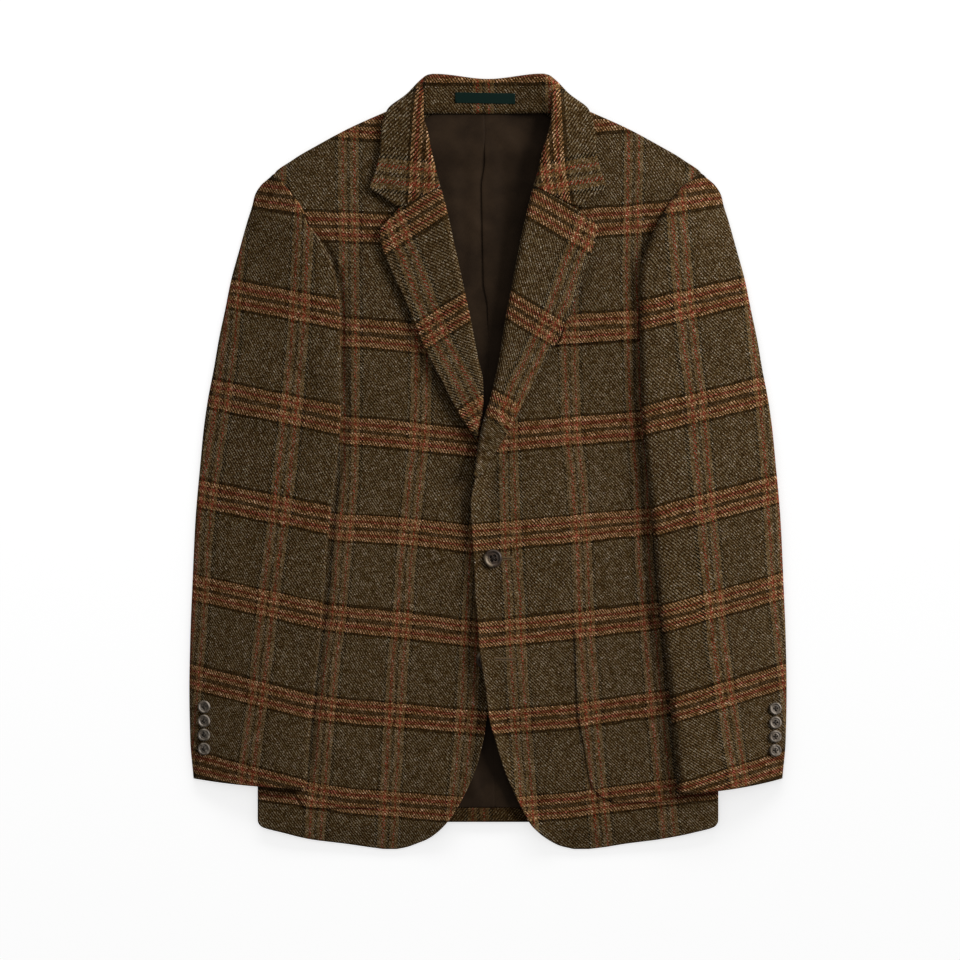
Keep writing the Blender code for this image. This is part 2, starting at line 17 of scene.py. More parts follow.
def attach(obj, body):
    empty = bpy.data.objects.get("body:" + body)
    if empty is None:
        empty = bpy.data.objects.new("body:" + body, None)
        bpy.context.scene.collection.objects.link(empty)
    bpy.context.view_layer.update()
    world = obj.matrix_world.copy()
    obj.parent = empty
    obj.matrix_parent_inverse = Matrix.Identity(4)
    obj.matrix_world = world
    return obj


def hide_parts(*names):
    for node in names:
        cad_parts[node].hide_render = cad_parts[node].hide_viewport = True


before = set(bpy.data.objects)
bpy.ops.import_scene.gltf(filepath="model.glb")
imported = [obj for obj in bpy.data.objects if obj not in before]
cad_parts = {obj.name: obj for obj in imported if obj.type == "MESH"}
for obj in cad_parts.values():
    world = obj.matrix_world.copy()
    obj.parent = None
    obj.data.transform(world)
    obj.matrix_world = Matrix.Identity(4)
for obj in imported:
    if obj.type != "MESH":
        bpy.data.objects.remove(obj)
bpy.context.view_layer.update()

# ----------------------------------------
# BACK. Two halves of a woollen check tweed, right side down on the table, joined along the
# centre seam. Cut with the check running level and lifted a little where it lies on the collar.

MM = 0.001
RIGHT, LEFT = -1, 1
SIDES = {RIGHT: "right", LEFT: "left"}
CHECK_ACROSS = 76.0
CHECK_ALONG = 102.0
BACK_WALL = 2.0
COLLAR_WALL = 2.6
SEAM = 0.3
LAY = 0.4
BACK_LIFT = COLLAR_WALL + LAY
BACK_LIFTED = (301, 332)
BACK_TOP = 366
BACK_HEM = -378.8

SHOULDER = ((368, 106), (350, 146), (332, 179.5), (317, 205), (301, 224.5))
ARMHOLE = {
    RIGHT: ((290, 214), (278, 204), (264, 195), (248, 190), (227, 189), (206, 194), (185, 206)),
    LEFT: ((290, 206), (278, 196), (264, 187), (248, 178), (227, 175), (206, 184), (185, 200)),
}
SIDE_SEAM = (
    (157, 233), (138, 237), (65, 231), (-20, 225), (-105, 227), (-190, 233), (-275, 239),
    (-345, 242), (-377, 242), (-383, 239),
)
OUTLINE_ROWS = 700
# Rows of corners inside a cut edge, at these shares of the cloth's wall
RIM_ROWS = (0.06, 0.22, 0.5)
BACK_CHECK = (14 * CHECK_ACROSS, -30)


def ease(low, high, value):
    """0 at low and 1 at high, with a smooth rise between."""
    share = np.clip((np.asarray(value, float) - low) / (high - low), 0, 1)
    return share * share * (3 - 2 * share)


def edge(line, y):
    """The edge's x at height y, on a smooth line through its marks."""
    heights, places = (np.array(v, float) for v in zip(*sorted(line)))
    gap = np.diff(heights)
    slope = np.diff(places) / gap
    lean = np.zeros_like(places)
    turn = slope[:-1] * slope[1:]
    lean[1:-1] = np.where(turn > 0, 2 * turn / np.where(turn > 0, slope[:-1] + slope[1:], 1), 0)
    lean[0], lean[-1] = slope[0], slope[-1]
    y = np.clip(np.asarray(y, float), heights[0], heights[-1])
    k = np.clip(np.searchsorted(heights, y) - 1, 0, len(gap) - 1)
    t = (y - heights[k]) / gap[k]
    return (
        places[k] * (1 + 2 * t) * (1 - t) ** 2
        + gap[k] * lean[k] * t * (1 - t) ** 2
        + places[k + 1] * t * t * (3 - 2 * t)
        + gap[k] * lean[k + 1] * t * t * (t - 1)
    )


def body_edge(side, y, hem=()):
    """How far the body reaches from the centre line: shoulder, armhole, then side seam."""
    return edge(SHOULDER + ARMHOLE[side] + SIDE_SEAM + tuple(hem), y)


def back_rest(x, y):
    """Flat on the table, and raised where it lies on the collar's fall."""
    return BACK_LIFT * ease(*BACK_LIFTED, y)


def upright(x):
    """A straight edge, at the same x from top to foot."""
    return lambda y: np.full_like(y, x)


def outline(top, foot, first, last):
    """A closed line, down the first edge, along the foot, and up the last edge."""
    heights = np.linspace(top, foot, OUTLINE_ROWS)
    down = np.column_stack([first(heights), heights])
    up = np.column_stack([last(heights[::-1]), heights[::-1]])
    return np.vstack([down, up])


def even(line, step):
    """The closed line again, with marks a step apart and one at each corner."""
    line = line[np.r_[True, np.hypot(*np.diff(line, axis=0).T) > 1e-6]]
    ahead = np.roll(line, -1, 0) - line
    behind = line - np.roll(line, 1, 0)
    heading = np.arctan2(ahead[:, 1], ahead[:, 0]) - np.arctan2(behind[:, 1], behind[:, 0])
    corners = np.flatnonzero(np.cos(heading) < 0.9)
    if len(corners) == 0:
        corners = np.array([0])
    line = np.roll(line, -corners[0], 0)
    corners = np.r_[corners - corners[0], len(line)]
    line = np.vstack([line, line[:1]])
    marks = []
    for a, b in zip(corners, corners[1:]):
        run = line[a : b + 1]
        length = np.r_[0, np.cumsum(np.hypot(*np.diff(run, axis=0).T))]
        places = np.linspace(0, length[-1], max(2, int(round(length[-1] / step)) + 1))[:-1]
        marks.append(np.column_stack([np.interp(places, length, run[:, i]) for i in (0, 1)]))
    return np.vstack(marks)


def away(points, line, closed=False):
    """The distance of each point from a line."""
    start = line if closed else line[:-1]
    span = (np.roll(line, -1, 0) if closed else line[1:]) - start
    size = np.maximum((span**2).sum(1), 1e-12)
    found = []
    for part in np.array_split(points, max(1, len(points) // 1500)):
        reach = part[:, None] - start
        share = np.clip((reach * span).sum(2) / size, 0, 1)
        found.append(np.sqrt(((reach - share[..., None] * span) ** 2).sum(2).min(1)))
    return np.concatenate(found)


def within(points, ring):
    """Which points lie inside the closed line."""
    ends = np.roll(ring, -1, 0)
    inside = []
    for part in np.array_split(points, max(1, len(points) // 2000)):
        crossed = (ring[:, 1] > part[:, 1:]) != (ends[:, 1] > part[:, 1:])
        rise = np.where(ends[:, 1] == ring[:, 1], 1, ends[:, 1] - ring[:, 1])
        at = ring[:, 0] + (part[:, 1:] - ring[:, 1]) * (ends[:, 0] - ring[:, 0]) / rise
        inside.append((crossed & (part[:, :1] < at)).sum(1) % 2 == 1)
    return np.concatenate(inside)


def fill(line, wall, spacing):
    """Corners and triangles that fill an outline, closer together along its edge."""
    ring = even(line, min(2.2, spacing))
    ahead = np.roll(ring, -1, 0) - np.roll(ring, 1, 0)
    inward = np.column_stack([-ahead[:, 1], ahead[:, 0]]) / np.hypot(*ahead.T)[:, None]
    area = (ring[:, 0] * np.roll(ring[:, 1], -1) - np.roll(ring[:, 0], -1) * ring[:, 1]).sum()
    inward *= np.sign(area)
    corners = [ring]
    for inset in (*(share * wall for share in RIM_ROWS), 0.5 * wall + 0.55 * spacing):
        shifted = ring + inward * inset
        shifted = shifted[within(shifted, ring)]
        corners.append(shifted[away(shifted, ring, True) > 0.93 * inset])
    low, high = ring.min(0), ring.max(0)
    rows = np.arange(low[1], high[1], spacing * 0.87)
    columns = np.arange(low[0], high[0], spacing)
    grid = np.array([(x + (k % 2) * spacing / 2, y) for k, y in enumerate(rows) for x in columns])
    grid = grid[within(grid, ring)]
    corners.append(grid[away(grid, ring, True) > 0.5 * wall + 1.1 * spacing])
    corners = np.vstack(corners)
    border = [(i, (i + 1) % len(ring)) for i in range(len(ring))]
    found = delaunay_2d_cdt([Vector(c) for c in corners], border, [], 1, 1e-5)
    return np.array([tuple(c) for c in found[0]]), [tuple(f) for f in found[2]], ring


def counted(across, along, lines):
    """How many repeats of the check lie between its first line and each point."""
    order = sorted(lines, key=lambda n: np.mean([place for _, place in lines[n]]))
    knots = []
    for n in order:
        t, place = (np.array(v, float) for v in zip(*sorted(lines[n])))
        knot = np.interp(along, t, place)
        if len(t) > 1:
            lean = np.diff(place) / np.diff(t)
            knot += lean[0] * np.minimum(along - t[0], 0) + lean[-1] * np.maximum(along - t[-1], 0)
        knots.append(knot)
    knots, order = np.array(knots), np.array(order, float)
    k = np.clip((knots < across).sum(0) - 1, 0, len(order) - 2)
    here = np.arange(len(across))
    share = (across - knots[k, here]) / (knots[k + 1, here] - knots[k, here])
    return order[k] + share * (order[k + 1] - order[k])


def check_at(upright_bands, level_bands, shift):
    """The place in the woven check of each point, from where the check's bands lie."""
    return lambda x, y: (
        CHECK_ACROSS * (counted(x, y, upright_bands) + shift),
        CHECK_ALONG * counted(y, x, level_bands),
    )


def creased(x, y, creases):
    """Soft ridges and troughs: from, to, bow, half width and height of each, tapering out."""
    height = np.zeros(np.shape(x))
    for x0, y0, x1, y1, bow, width, rise in creases:
        length = math.hypot(x1 - x0, y1 - y0)
        cos, sin = (x1 - x0) / length, (y1 - y0) / length
        share = ((x - x0) * cos + (y - y0) * sin) / length
        aside = (y - y0) * cos - (x - x0) * sin - 4 * bow * share * (1 - share)
        taper = ease(0, 0.35, share) * ease(0, 0.35, 1 - share)
        height += rise * taper * np.exp(-((aside / width) ** 2))
    return height


def lay(node, line, middle, wall, material, weave, spacing=3.4, place=None):
    """Cloth in place of a CAD node: a thin shell on its form, rounded along the cut edge.

    middle gives the height of the cloth's middle, weave the place in the woven check.
    """
    corners, faces, ring = fill(line, wall, spacing)
    off_edge = away(corners, ring, True)
    round_off = 1 - np.minimum(off_edge / (wall / 2), 1)
    half = np.where(off_edge < 0.001, 0, wall / 2 * np.sqrt(np.maximum(1 - round_off**2, 0)))
    if place is not None:
        corners = place(corners)
    x, y = corners.T
    level = middle(x, y)
    inner = np.flatnonzero(half > 1e-6)
    under = np.arange(len(corners))
    under[inner] = len(corners) + np.arange(len(inner))
    top = np.column_stack([x, y, level + half])
    bottom = np.column_stack([x, y, level - half])[inner]
    upward = [f if np.cross(corners[f[1]] - corners[f[0]], corners[f[2]] - corners[f[0]]) > 0
              else f[::-1] for f in faces]
    downward = [tuple(int(under[i]) for i in f[::-1]) for f in upward]
    mesh = bpy.data.meshes.new(node + "_cloth")
    mesh.from_pydata((np.vstack([top, bottom]) * MM).tolist(), [], upward + downward)
    across, along = weave(x, y)
    check = np.column_stack([across, along]) * MM
    return cloth_object(node, mesh, np.vstack([check, check[inner]]), material)


def put(name, data):
    """A new object in the scene."""
    made = bpy.data.objects.new(name, data)
    bpy.context.collection.objects.link(made)
    return made


def cloth_object(node, mesh, check, material):
    """The cloth's object, with each corner's place in the woven check."""
    layer = mesh.uv_layers.new(name="cloth")
    corner_of = np.empty(len(mesh.loops), int)
    mesh.loops.foreach_get("vertex_index", corner_of)
    layer.data.foreach_set("uv", check[corner_of].ravel().astype(np.float32))
    mesh.shade_smooth()
    mesh.materials.append(material)
    piece = put(node + "_cloth", mesh)
    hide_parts(node)
    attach(piece, "root")
    return piece


def feed(tree, made, inputs):
    """Links or sets the inputs of a shader node, by name or number."""
    for name, value in inputs.items():
        if isinstance(value, bpy.types.NodeSocket):
            tree.links.new(value, made.inputs[name])
        else:
            made.inputs[name].default_value = value


def add(tree, kind, inputs=None, **settings):
    """A shader node of this kind."""
    made = tree.nodes.new("ShaderNode" + kind)
    for name, value in settings.items():
        setattr(made, name, value)
    feed(tree, made, inputs or {})
    return made


def maths(tree, operation, *values):
    """The result of one sum on numbers or sockets."""
    return add(tree, "Math", dict(enumerate(values)), operation=operation).outputs[0]


def group(name, inputs, outputs):
    """A new node group with named sockets: name, kind and default of each."""
    tree = bpy.data.node_groups.new(name, "ShaderNodeTree")
    sockets = tree.interface
    for label, kind, default in inputs:
        socket = sockets.new_socket(name=label, in_out="INPUT", socket_type="NodeSocket" + kind)
        if default is not None:
            socket.default_value = default
    for label, kind in outputs:
        sockets.new_socket(name=label, in_out="OUTPUT", socket_type="NodeSocket" + kind)
    return tree, tree.nodes.new("NodeGroupInput").outputs, tree.nodes.new("NodeGroupOutput")


def finish(name):
    """A new material, with its nodes and its shader."""
    material = bpy.data.materials.new(name)
    material.use_nodes = True
    return material, material.node_tree, material.node_tree.nodes["Principled BSDF"]


# Yarns, as dyed: the warp is the darker, the weft the lighter
WARP = (0.0160, 0.0072, 0.0013)
WARP_DARK = (0.0035, 0.0020, 0.0007)
WARP_BROWN = (0.0125, 0.0060, 0.0018)
WARP_TAN = (0.059, 0.0320, 0.0098)
WARP_RUST = (0.082, 0.0125, 0.0046)
WEFT = (0.071, 0.0490, 0.0240)
WEFT_DARK = (0.019, 0.0115, 0.0046)
WEFT_BROWN = (0.042, 0.0235, 0.0100)
WEFT_TAN = (0.155, 0.082, 0.0345)
WEFT_RUST = (0.110, 0.0300, 0.0145)
# The check's colours counted out from the middle of each band
WARP_STRIPES = (
    (0, WARP_BROWN), (1.6, WARP_TAN), (4.6, WARP_RUST), (7.4, WARP_TAN), (11.0, WARP_DARK),
    (14.4, WARP),
)
WEFT_STRIPES = (
    (0, WEFT_BROWN), (2.0, WEFT_TAN), (5.7, WEFT_RUST), (9.0, WEFT_TAN), (13.6, WEFT_DARK),
    (16.6, WEFT),
)
WARP_PITCH = 0.80
WEFT_PITCH = 0.96
# How far the wool strays, in stops, along a yarn, from float to float, and in blotches
YARN_STRAY, FLOAT_STRAY, BLOTCH_STRAY = 4.4, 3.1, 1.3
YARN_TINT = (0.3, 0.24, 0.34)
YARN_PLAIN = (0.85, 0.88, 0.83)
# How far the yarns wander, and how far out of turn they lie, in metres
YARN_DRIFT = 0.0022
OUT_OF_TURN = 0.0010

weave_tree, given, woven_out = group(
    "woven check",
    [
        ("Cloth", "Vector", None),
        ("Mottle", "Float", 1.0),
        # The last two inputs darken the colour as painted shade: between the yarns, and all over the cloth
        ("Painted yarn shade", "Float", 0.74),
        ("Painted shade", "Float", 1.0),
    ],
    [("Color", "Color"), ("Height", "Float")],
)
weave_node = partial(add, weave_tree)
weave_sum = partial(maths, weave_tree)


def centred(value, strength):
    return weave_sum("MULTIPLY", weave_sum("SUBTRACT", value, 0.5), strength)


# Yarns wander a little, as wool does
parts = weave_node("SeparateXYZ", {0: given["Cloth"]})
wander = weave_node(
    "TexNoise", {"Vector": given["Cloth"], "Scale": 45, "Detail": 2}, noise_dimensions="2D"
)
wandered = weave_node("SeparateXYZ", {0: wander.outputs["Color"]})
across, along = (
    weave_sum("ADD", parts.outputs[axis], centred(wandered.outputs[axis], YARN_DRIFT)) for axis in "XY"
)
end = weave_sum("DIVIDE", across, WARP_PITCH * MM)
pick = weave_sum("DIVIDE", along, WEFT_PITCH * MM)
end_count = weave_sum("FLOOR", end)
pick_count = weave_sum("FLOOR", pick)
# A two and two twill: each yarn goes over two and under two
twill = weave_sum("FLOORED_MODULO", weave_sum("ADD", end_count, pick_count), 4)
warp_up = weave_sum("LESS_THAN", twill, 1.5)
float_place = weave_node("CombineXYZ", {0: end_count, 1: pick_count})
each_float = weave_node("TexWhiteNoise", {"Vector": float_place.outputs[0]}, noise_dimensions="2D")
blotch = weave_node(
    "TexNoise", {"Vector": given["Cloth"], "Scale": 110, "Detail": 3}, noise_dimensions="2D"
)


def melange(count, along_yarn, seed):
    """Wool of mixed shades along one yarn, different in each."""
    place = weave_node(
        "CombineXYZ",
        {0: weave_sum("MULTIPLY", count, 7.31), 1: weave_sum("MULTIPLY", along_yarn, 420), 2: seed},
    )
    return weave_node(
        "TexNoise", {"Vector": place.outputs[0], "Scale": 1, "Detail": 2, "Roughness": 0.6}
    ).outputs


def times(first, second):
    return weave_node("VectorMath", {0: first, 1: second}, operation="MULTIPLY").outputs[0]


def by_channel(tone):
    """A tone for red, green and blue: wool looks warmer where it is darker."""
    tones = [weave_sum("POWER", tone, strength) for strength in (0.82, 1.0, 1.34)]
    return weave_node("CombineXYZ", dict(enumerate(tones))).outputs[0]


def yarn(colour, mixed):
    """The yarn's colour, lighter and darker along its length and from float to float."""
    stops = weave_sum(
        "ADD", centred(mixed["Fac"], YARN_STRAY), centred(each_float.outputs["Value"], FLOAT_STRAY)
    )
    stops = weave_sum("ADD", stops, centred(blotch.outputs["Fac"], BLOTCH_STRAY))
    tone = weave_sum("POWER", 2.0, weave_sum("MULTIPLY", stops, given["Mottle"]))
    tint = weave_node(
        "VectorMath", {0: mixed["Color"], 1: YARN_TINT, 2: YARN_PLAIN}, operation="MULTIPLY_ADD"
    )
    return times(times(colour, tint.outputs[0]), by_channel(tone))


def stripes(count, pitch, repeat, marks):
    """Each yarn's colour in the check, which is mirrored about its middle.

    The yarns lie a little out of turn, so that the colours mix at the stripes' edges.
    """
    turn = weave_node("TexWhiteNoise", {"W": count}, noise_dimensions="1D")
    middle = weave_sum("MULTIPLY", weave_sum("ADD", count, 0.5), pitch * MM)
    place = weave_sum("ADD", middle, centred(turn.outputs["Value"], OUT_OF_TURN))
    half = repeat * MM / 2
    made = weave_node("ValToRGB", {0: weave_sum("DIVIDE", weave_sum("PINGPONG", place, half), half)})
    ramp = made.color_ramp
    ramp.interpolation = "CONSTANT"
    while len(ramp.elements) < len(marks):
        ramp.elements.new(0.5)
    for element, (start, colour) in zip(ramp.elements, marks):
        element.position = min(start * MM / half, 1)
        element.color = (*colour, 1)
    return made.outputs[0]


def rounded(place):
    """1 in the middle of a yarn, 0 between two."""
    offset = weave_sum("SUBTRACT", weave_sum("FRACT", place), 0.5)
    square = weave_sum("MULTIPLY", offset, offset)
    return weave_sum("SUBTRACT", 1, weave_sum("MULTIPLY", square, 4))


warp = yarn(stripes(end_count, WARP_PITCH, CHECK_ACROSS, WARP_STRIPES), melange(end_count, along, 1.7))
weft = yarn(stripes(pick_count, WEFT_PITCH, CHECK_ALONG, WEFT_STRIPES), melange(pick_count, across, 9.2))
woven = weave_node("Mix", {0: warp_up, 6: weft, 7: warp}, data_type="RGBA").outputs[2]
relief = weave_node(
    "Mix", {0: warp_up, 2: rounded(pick), 3: rounded(end)}, data_type="FLOAT"
).outputs[0]
# Between the yarns it is darker: the colour is darkened there as painted shade in the hollows, and the last
# input darkens the whole cloth, also as painted shade
hollow = weave_sum("MULTIPLY", weave_sum("SUBTRACT", 1, relief), given["Painted yarn shade"])
lit = weave_sum("MULTIPLY", weave_sum("SUBTRACT", 1, hollow), given["Painted shade"])
feed(weave_tree, woven_out, {"Color": times(woven, by_channel(lit)), "Height": relief})


def tweed(name, tone=1.0):
    """The woven check as a matt, slightly hairy cloth."""
    # A tone below 1 darkens the whole cloth: painted shade
    material, tree, shader = finish(name)
    cloth = add(tree, "UVMap", uv_map="cloth")
    weave = add(tree, "Group")
    weave.node_tree = weave_tree
    feed(tree, weave, {"Cloth": cloth.outputs[0], "Painted shade": tone})
    bump = add(tree, "Bump", {"Strength": 0.5, "Distance": 0.0003, "Height": weave.outputs["Height"]})
    feed(tree, shader, {
        "Base Color": weave.outputs["Color"], "Normal": bump.outputs[0], "Roughness": 0.92,
        "Specular IOR Level": 0.01, "Sheen Weight": 0.04, "Sheen Roughness": 0.5,
        "Sheen Tint": (0.6, 0.5, 0.38, 1),
    })
    return material


tweed_cloth = tweed("check_tweed")

for side, name in SIDES.items():
    piece = lay(
        "back_" + name,
        outline(BACK_TOP, BACK_HEM, upright(-side * SEAM), lambda y: side * body_edge(side, y)),
        lambda x, y: back_rest(x, y) + BACK_WALL / 2,
        BACK_WALL,
        tweed_cloth,
        lambda x, y: (BACK_CHECK[0] - x, BACK_CHECK[1] + y),
        spacing=4.5,
    )

# ----------------------------------------
# BACK LINING. Two halves of dark brown satin, felled to the back. The left half laps over the
# right in a centre pleat from the neck to the waist, so that the shoulders can move.

LINING_WALL = 1.0
LINING_SHOULDER = ((366, 56), (350, 84), (332, 122), (310, 162))
LINING_INSET = 12
LINING_TOP, LINING_FOOT = 366, -363.5
LINING_SEAM = ((366, -4), (317, -3), (160, 0), (-365, 7))
# The pleat laps and lifts between these heights, fading at the foot and at the top
PLEAT_LAP = 8
PLEAT_LAPPED = ((160, 190), (287, 317))
PLEAT_REACH = (6, 22)
PLEAT_LIFTED = ((125, 160), (317, 342))
LINING_CREASES = (
    (-14, 352, -22, 150, 3, 7, 0.7),
    (-36, 350, -30, 190, -4, 9, 0.8),
    (22, 350, 30, 200, 4, 8, 0.7),
    (-44, 330, -8, 296, 4, 6, 0.6),
    (-30, 268, 6, 236, -3, 6, 0.6),
    (2, 352, 34, 318, 3, 6, 0.7),
    (-20, -318, -14, -362, 2, 5, 1.2),
    (14, -310, 20, -362, -2, 5, 1.0),
)


def lining_rest(x, y):
    return back_rest(x, y) + BACK_WALL + LAY


def between(y, foot, top):
    """1 between two heights, fading smoothly over the foot's range and the top's."""
    return ease(*foot, y) * (1 - ease(*top, y))


def lining_edge(side, y):
    at_side = body_edge(side, y) - LINING_INSET
    at_shoulder = np.minimum(edge(LINING_SHOULDER, y), at_side)
    return np.where(y > LINING_SHOULDER[-1][0], at_shoulder, at_side)


def lining_inner(side, y):
    lap = PLEAT_LAP * between(y, *PLEAT_LAPPED)
    return edge(LINING_SEAM, y) - side * lap / 2 - side * SEAM


def two_tone(tree, factor, dark, light, low=0.0, high=1.0):
    """A colour from dark to light, as the factor goes from low to high."""
    made = add(tree, "ValToRGB", {0: factor})
    for element, place, colour in zip(made.color_ramp.elements, (low, high), (dark, light)):
        element.position = place
        element.color = (*colour, 1)
    return made.outputs[0]


lining, tree, shader = finish("brown_satin")
cloth_map = add(tree, "UVMap", uv_map="cloth").outputs[0]
stretch = add(tree, "Mapping", {0: cloth_map, "Scale": (6000, 300, 1)})
thread = add(tree, "TexNoise", {"Vector": stretch.outputs[0], "Scale": 1})
cloud = add(tree, "TexNoise", {"Vector": cloth_map, "Scale": 34, "Detail": 3}, noise_dimensions="2D")
mottled = maths(
    tree,
    "ADD",
    maths(tree, "MULTIPLY", thread.outputs["Fac"], 0.5),
    maths(tree, "MULTIPLY", cloud.outputs["Fac"], 0.5),
)
feed(tree, shader, {
    "Base Color": two_tone(tree, mottled, (0.0080, 0.0047, 0.0027), (0.0225, 0.0135, 0.0073), 0.3, 0.7),
    "Roughness": 0.5,
    "Specular IOR Level": 0.04,
})

for side, name in SIDES.items():

    def middle(x, y):
        opened = between(y, *PLEAT_LIFTED) * (1 - ease(*PLEAT_REACH, x - edge(LINING_SEAM, y)))
        lap_lift = (LINING_WALL + SEAM) * opened if side == LEFT else 0
        folds = np.maximum(creased(x, y, LINING_CREASES), 0)
        return lining_rest(x, y) + lap_lift + LINING_WALL / 2 + folds

    piece = lay(
        "back_lining_" + name,
        outline(LINING_TOP, LINING_FOOT, partial(lining_inner, side),
                lambda y: side * lining_edge(side, y)),
        middle,
        LINING_WALL,
        lining,
        lambda x, y: (x, y),
        spacing=4.5,
    )

# ----------------------------------------
# HEM TURN-UP. The foot of the back, in the same tweed, turned up inside along the hem and felled
# over the lining's end.

TURNUP_WALL = 1.6
TURNUP_TOP = -364
TURNUP_REACH = 208
TURNUP_CHECK = (10, -30)
# Its tweed is darkened to half all over: painted shade of the gap between the fronts
shaded_turnup_tweed = tweed("check_tweed_turnup_painted_shade", tone=0.5)
piece = lay(
    "back_hem_turnup",
    outline(TURNUP_TOP, BACK_HEM, upright(-TURNUP_REACH), upright(TURNUP_REACH)),
    lambda x, y: lining_rest(x, y) + TURNUP_WALL / 2,
    TURNUP_WALL,
    shaded_turnup_tweed,
    lambda x, y: (TURNUP_CHECK[0] + x, TURNUP_CHECK[1] - y),
)

# ----------------------------------------
# FRONTS. Two panels of the same tweed over canvas, which rounds the chest. They close on the
# back along the shoulder and side seams, and the left laps over the right at the waist.

FRONT_WALL = 2.8
LAPEL_WALL = 3.0
FRONT_TOP = 368
FRONT_FOOT = -407.4
FRONT_REST = 4.4
CHEST_PUFF = 2.6
CHEST = (-20, 200)
SHOULDER_ROUND = (0, 34)
NECK_POINT = (60, 390)
SIDE_REST = 3.55
SIDE_ROUND = (0, 38)
LEAST_REST = 3.55
# Down the side seam the front closes on the lining, up to the sleeve's head
SLEEVE_HEAD = (140, 215)
OVERLAP_LIFT = FRONT_WALL + 0.6
OVERLAPPED = ((-318, -262), (36, 96))
OVERLAP_REACH = (30, 150)
LOWER_BUTTON_AT = (-2.6, -208)
BUTTON_LIFT = 3.9
BUTTON_SPREAD = 34
BUTTON_REACH = (12, 80)
HEM_ON_TABLE = (-409, -380)
ROLL_INSET = LAPEL_WALL + 2.5 * LAY
ROLL_WRAP_END = {RIGHT: 40, LEFT: -14}
FRONT_HEM = {
    RIGHT: ((-391, 212), (-397, 187), (-402, 148), (-405.5, 124), (-407.4, 110)),
    LEFT: ((-391, 212), (-397, 181), (-402, 143), (-405.5, 122), (-407.4, 106)),
}
ROLL = {
    RIGHT: (
        (407, -58), (401, -64), (392, -66.4), (364, -67), (348, -63), (327, -59), (306, -54),
        (288, -49.5), (264, -42.9), (232, -36), (191, -27), (149, -18), (107, -10), (86, -5.3),
        (65, -4.5), (44, -6.5),
        (22, -11.5),
    ),
    LEFT: (
        (407, 58), (401, 64), (392, 66), (364, 66), (348, 63.3), (327, 57), (306, 52),
        (288, 47), (264, 41), (232, 33.8), (191, 26), (149, 17.8), (107, 11.2), (86, 6.8),
        (65, 1.8), (44, -5), (23, -9.5), (2, -12.6),
        (-15, -15.4),
    ),
}
FRONT_EDGE = {
    RIGHT: (
        (38, -11), (24, 0), (4, 16), (-45, 21), (-103, 21), (-166, 20), (-208, 15), (-240, 8),
        (-269, -1), (-287, -3.7), (-303, -7.4), (-319, -11.6), (-338, -19), (-355, -27.3),
        (-368, -34.6), (-378, -42), (-389, -52.5), (-396.5, -63), (-402, -76), (-405.5, -86),
        (-407.4, -96),
    ),
    LEFT: (
        (-45, -18.4), (-72, -17.3), (-96, -15.7), (-147, -13.2), (-171, -11), (-195, -9.5),
        (-215, -6.5), (-238, -3), (-269, 1), (-292, 7.4), (-310, 12.6), (-329, 19), (-345, 26),
        (-359, 32.6), (-371, 39), (-380, 44), (-391, 54.6), (-398.5, 65), (-404, 76),
        (-407.4, 90),
    ),
}
# The sleeve's front fold lies on the front, below its seam in the armhole
ARMHOLE_SEAM_ROWS = 4
SLEEVE_HEAD_TOP = ((304, 221), (298, 217))
SLEEVE_FOLD = {
    RIGHT: (
        (235, 177.5), (208, 164.5), (187, 158.5), (160, 155.5), (54, 154.5), (-2, 158.5), (-50, 164.5),
        (-89, 168.5), (-145, 172.5), (-224, 180.5), (-276, 186.5), (-333, 190.5),
    ),
    LEFT: (
        (235, 171), (208, 161), (187, 158.5), (160, 159), (54, 161), (-2, 166), (-50, 171),
        (-89, 174.5), (-145, 179), (-224, 189), (-276, 194), (-333, 198.5),
    ),
}
# Along that fold the right front dips in a trough and swells beside it
SLEEVE_SWELL = 1.6
SLEEVE_SWELL_AT = 13
SLEEVE_SWELL_WIDTH = (9, 75)
SWELL_ROWS = ((-345, -300), (195, 245))
SLEEVE_HOLLOW = 1.8
HOLLOW_AT = 2
HOLLOW_WIDTH = 3.4
HOLLOW_ROWS = ((-345, -325), (215, 245))
# Both are broader beside the waist
BROAD_ROWS = ((-20, 20), (90, 130))
BROAD_SWELL = 1.2
BROAD_HOLLOW = 2
CHEST_SINK = 1.7
CHEST_SINK_WIDTH = 40
# The lapped edge stands up off the cloth below, most beside the roll's end; by height
EDGE_CURL = {
    RIGHT: ((-230, 0), (-256, 4.5), (-300, 5.5), (-340, 3.0), (-400, 2.4)),
    LEFT: ((20, 0), (-8, 6.0), (-45, 5.0), (-75, 3.4), (-240, 4.4), (-275, 8.0), (-305, 8.0),
           (-340, 5.0), (-400, 4.4)),
}
EDGE_CURL_REACH = 22


def band_rows(places, *rows):
    """The check's level bands, from the top band down, by their heights at the same places."""
    return {-k: tuple(zip(places, row)) for k, row in enumerate(rows)}


# Where the check's bands cross each front: level bands by x, upright ones by height
LEVEL_BANDS = {
    RIGHT: band_rows(
        (-229, -150, -92.4, -29.4),
        (366, 354.4, 352.3, 346),
        (248, 246.2, 243.6, 236),
        (146, 135.5, 130.7, 123.4),
        (42, 33.1, 27.8, 20.8),
        (-63, -70.2, -73, -80.3),
        (-157, -165.4, -171.5, -179.6),
        (-252, -262, -266.7, -272),
    ),
    LEFT: band_rows(
        (12.6, 86.1, 159.6, 233),
        (355, 359.6, 363.8, 372),
        (243, 248.9, 254.6, 263),
        (133, 138.6, 143.3, 152),
        (24.2, 31.4, 37, 45),
        (-78.2, -71.4, -64.1, -56),
        (-180.5, -172.9, -164.3, -155),
        (-273, -267.2, -256.7, -247),
        (-367, -361.2, -351.2, -342),
    ),
}
LEVEL_BANDS[RIGHT][-7] = ((-229, -344), (-197, -348), (-150, -356), (-92.4, -360.7), (-29.4, -365.4))
FRONT_CHECK = 4
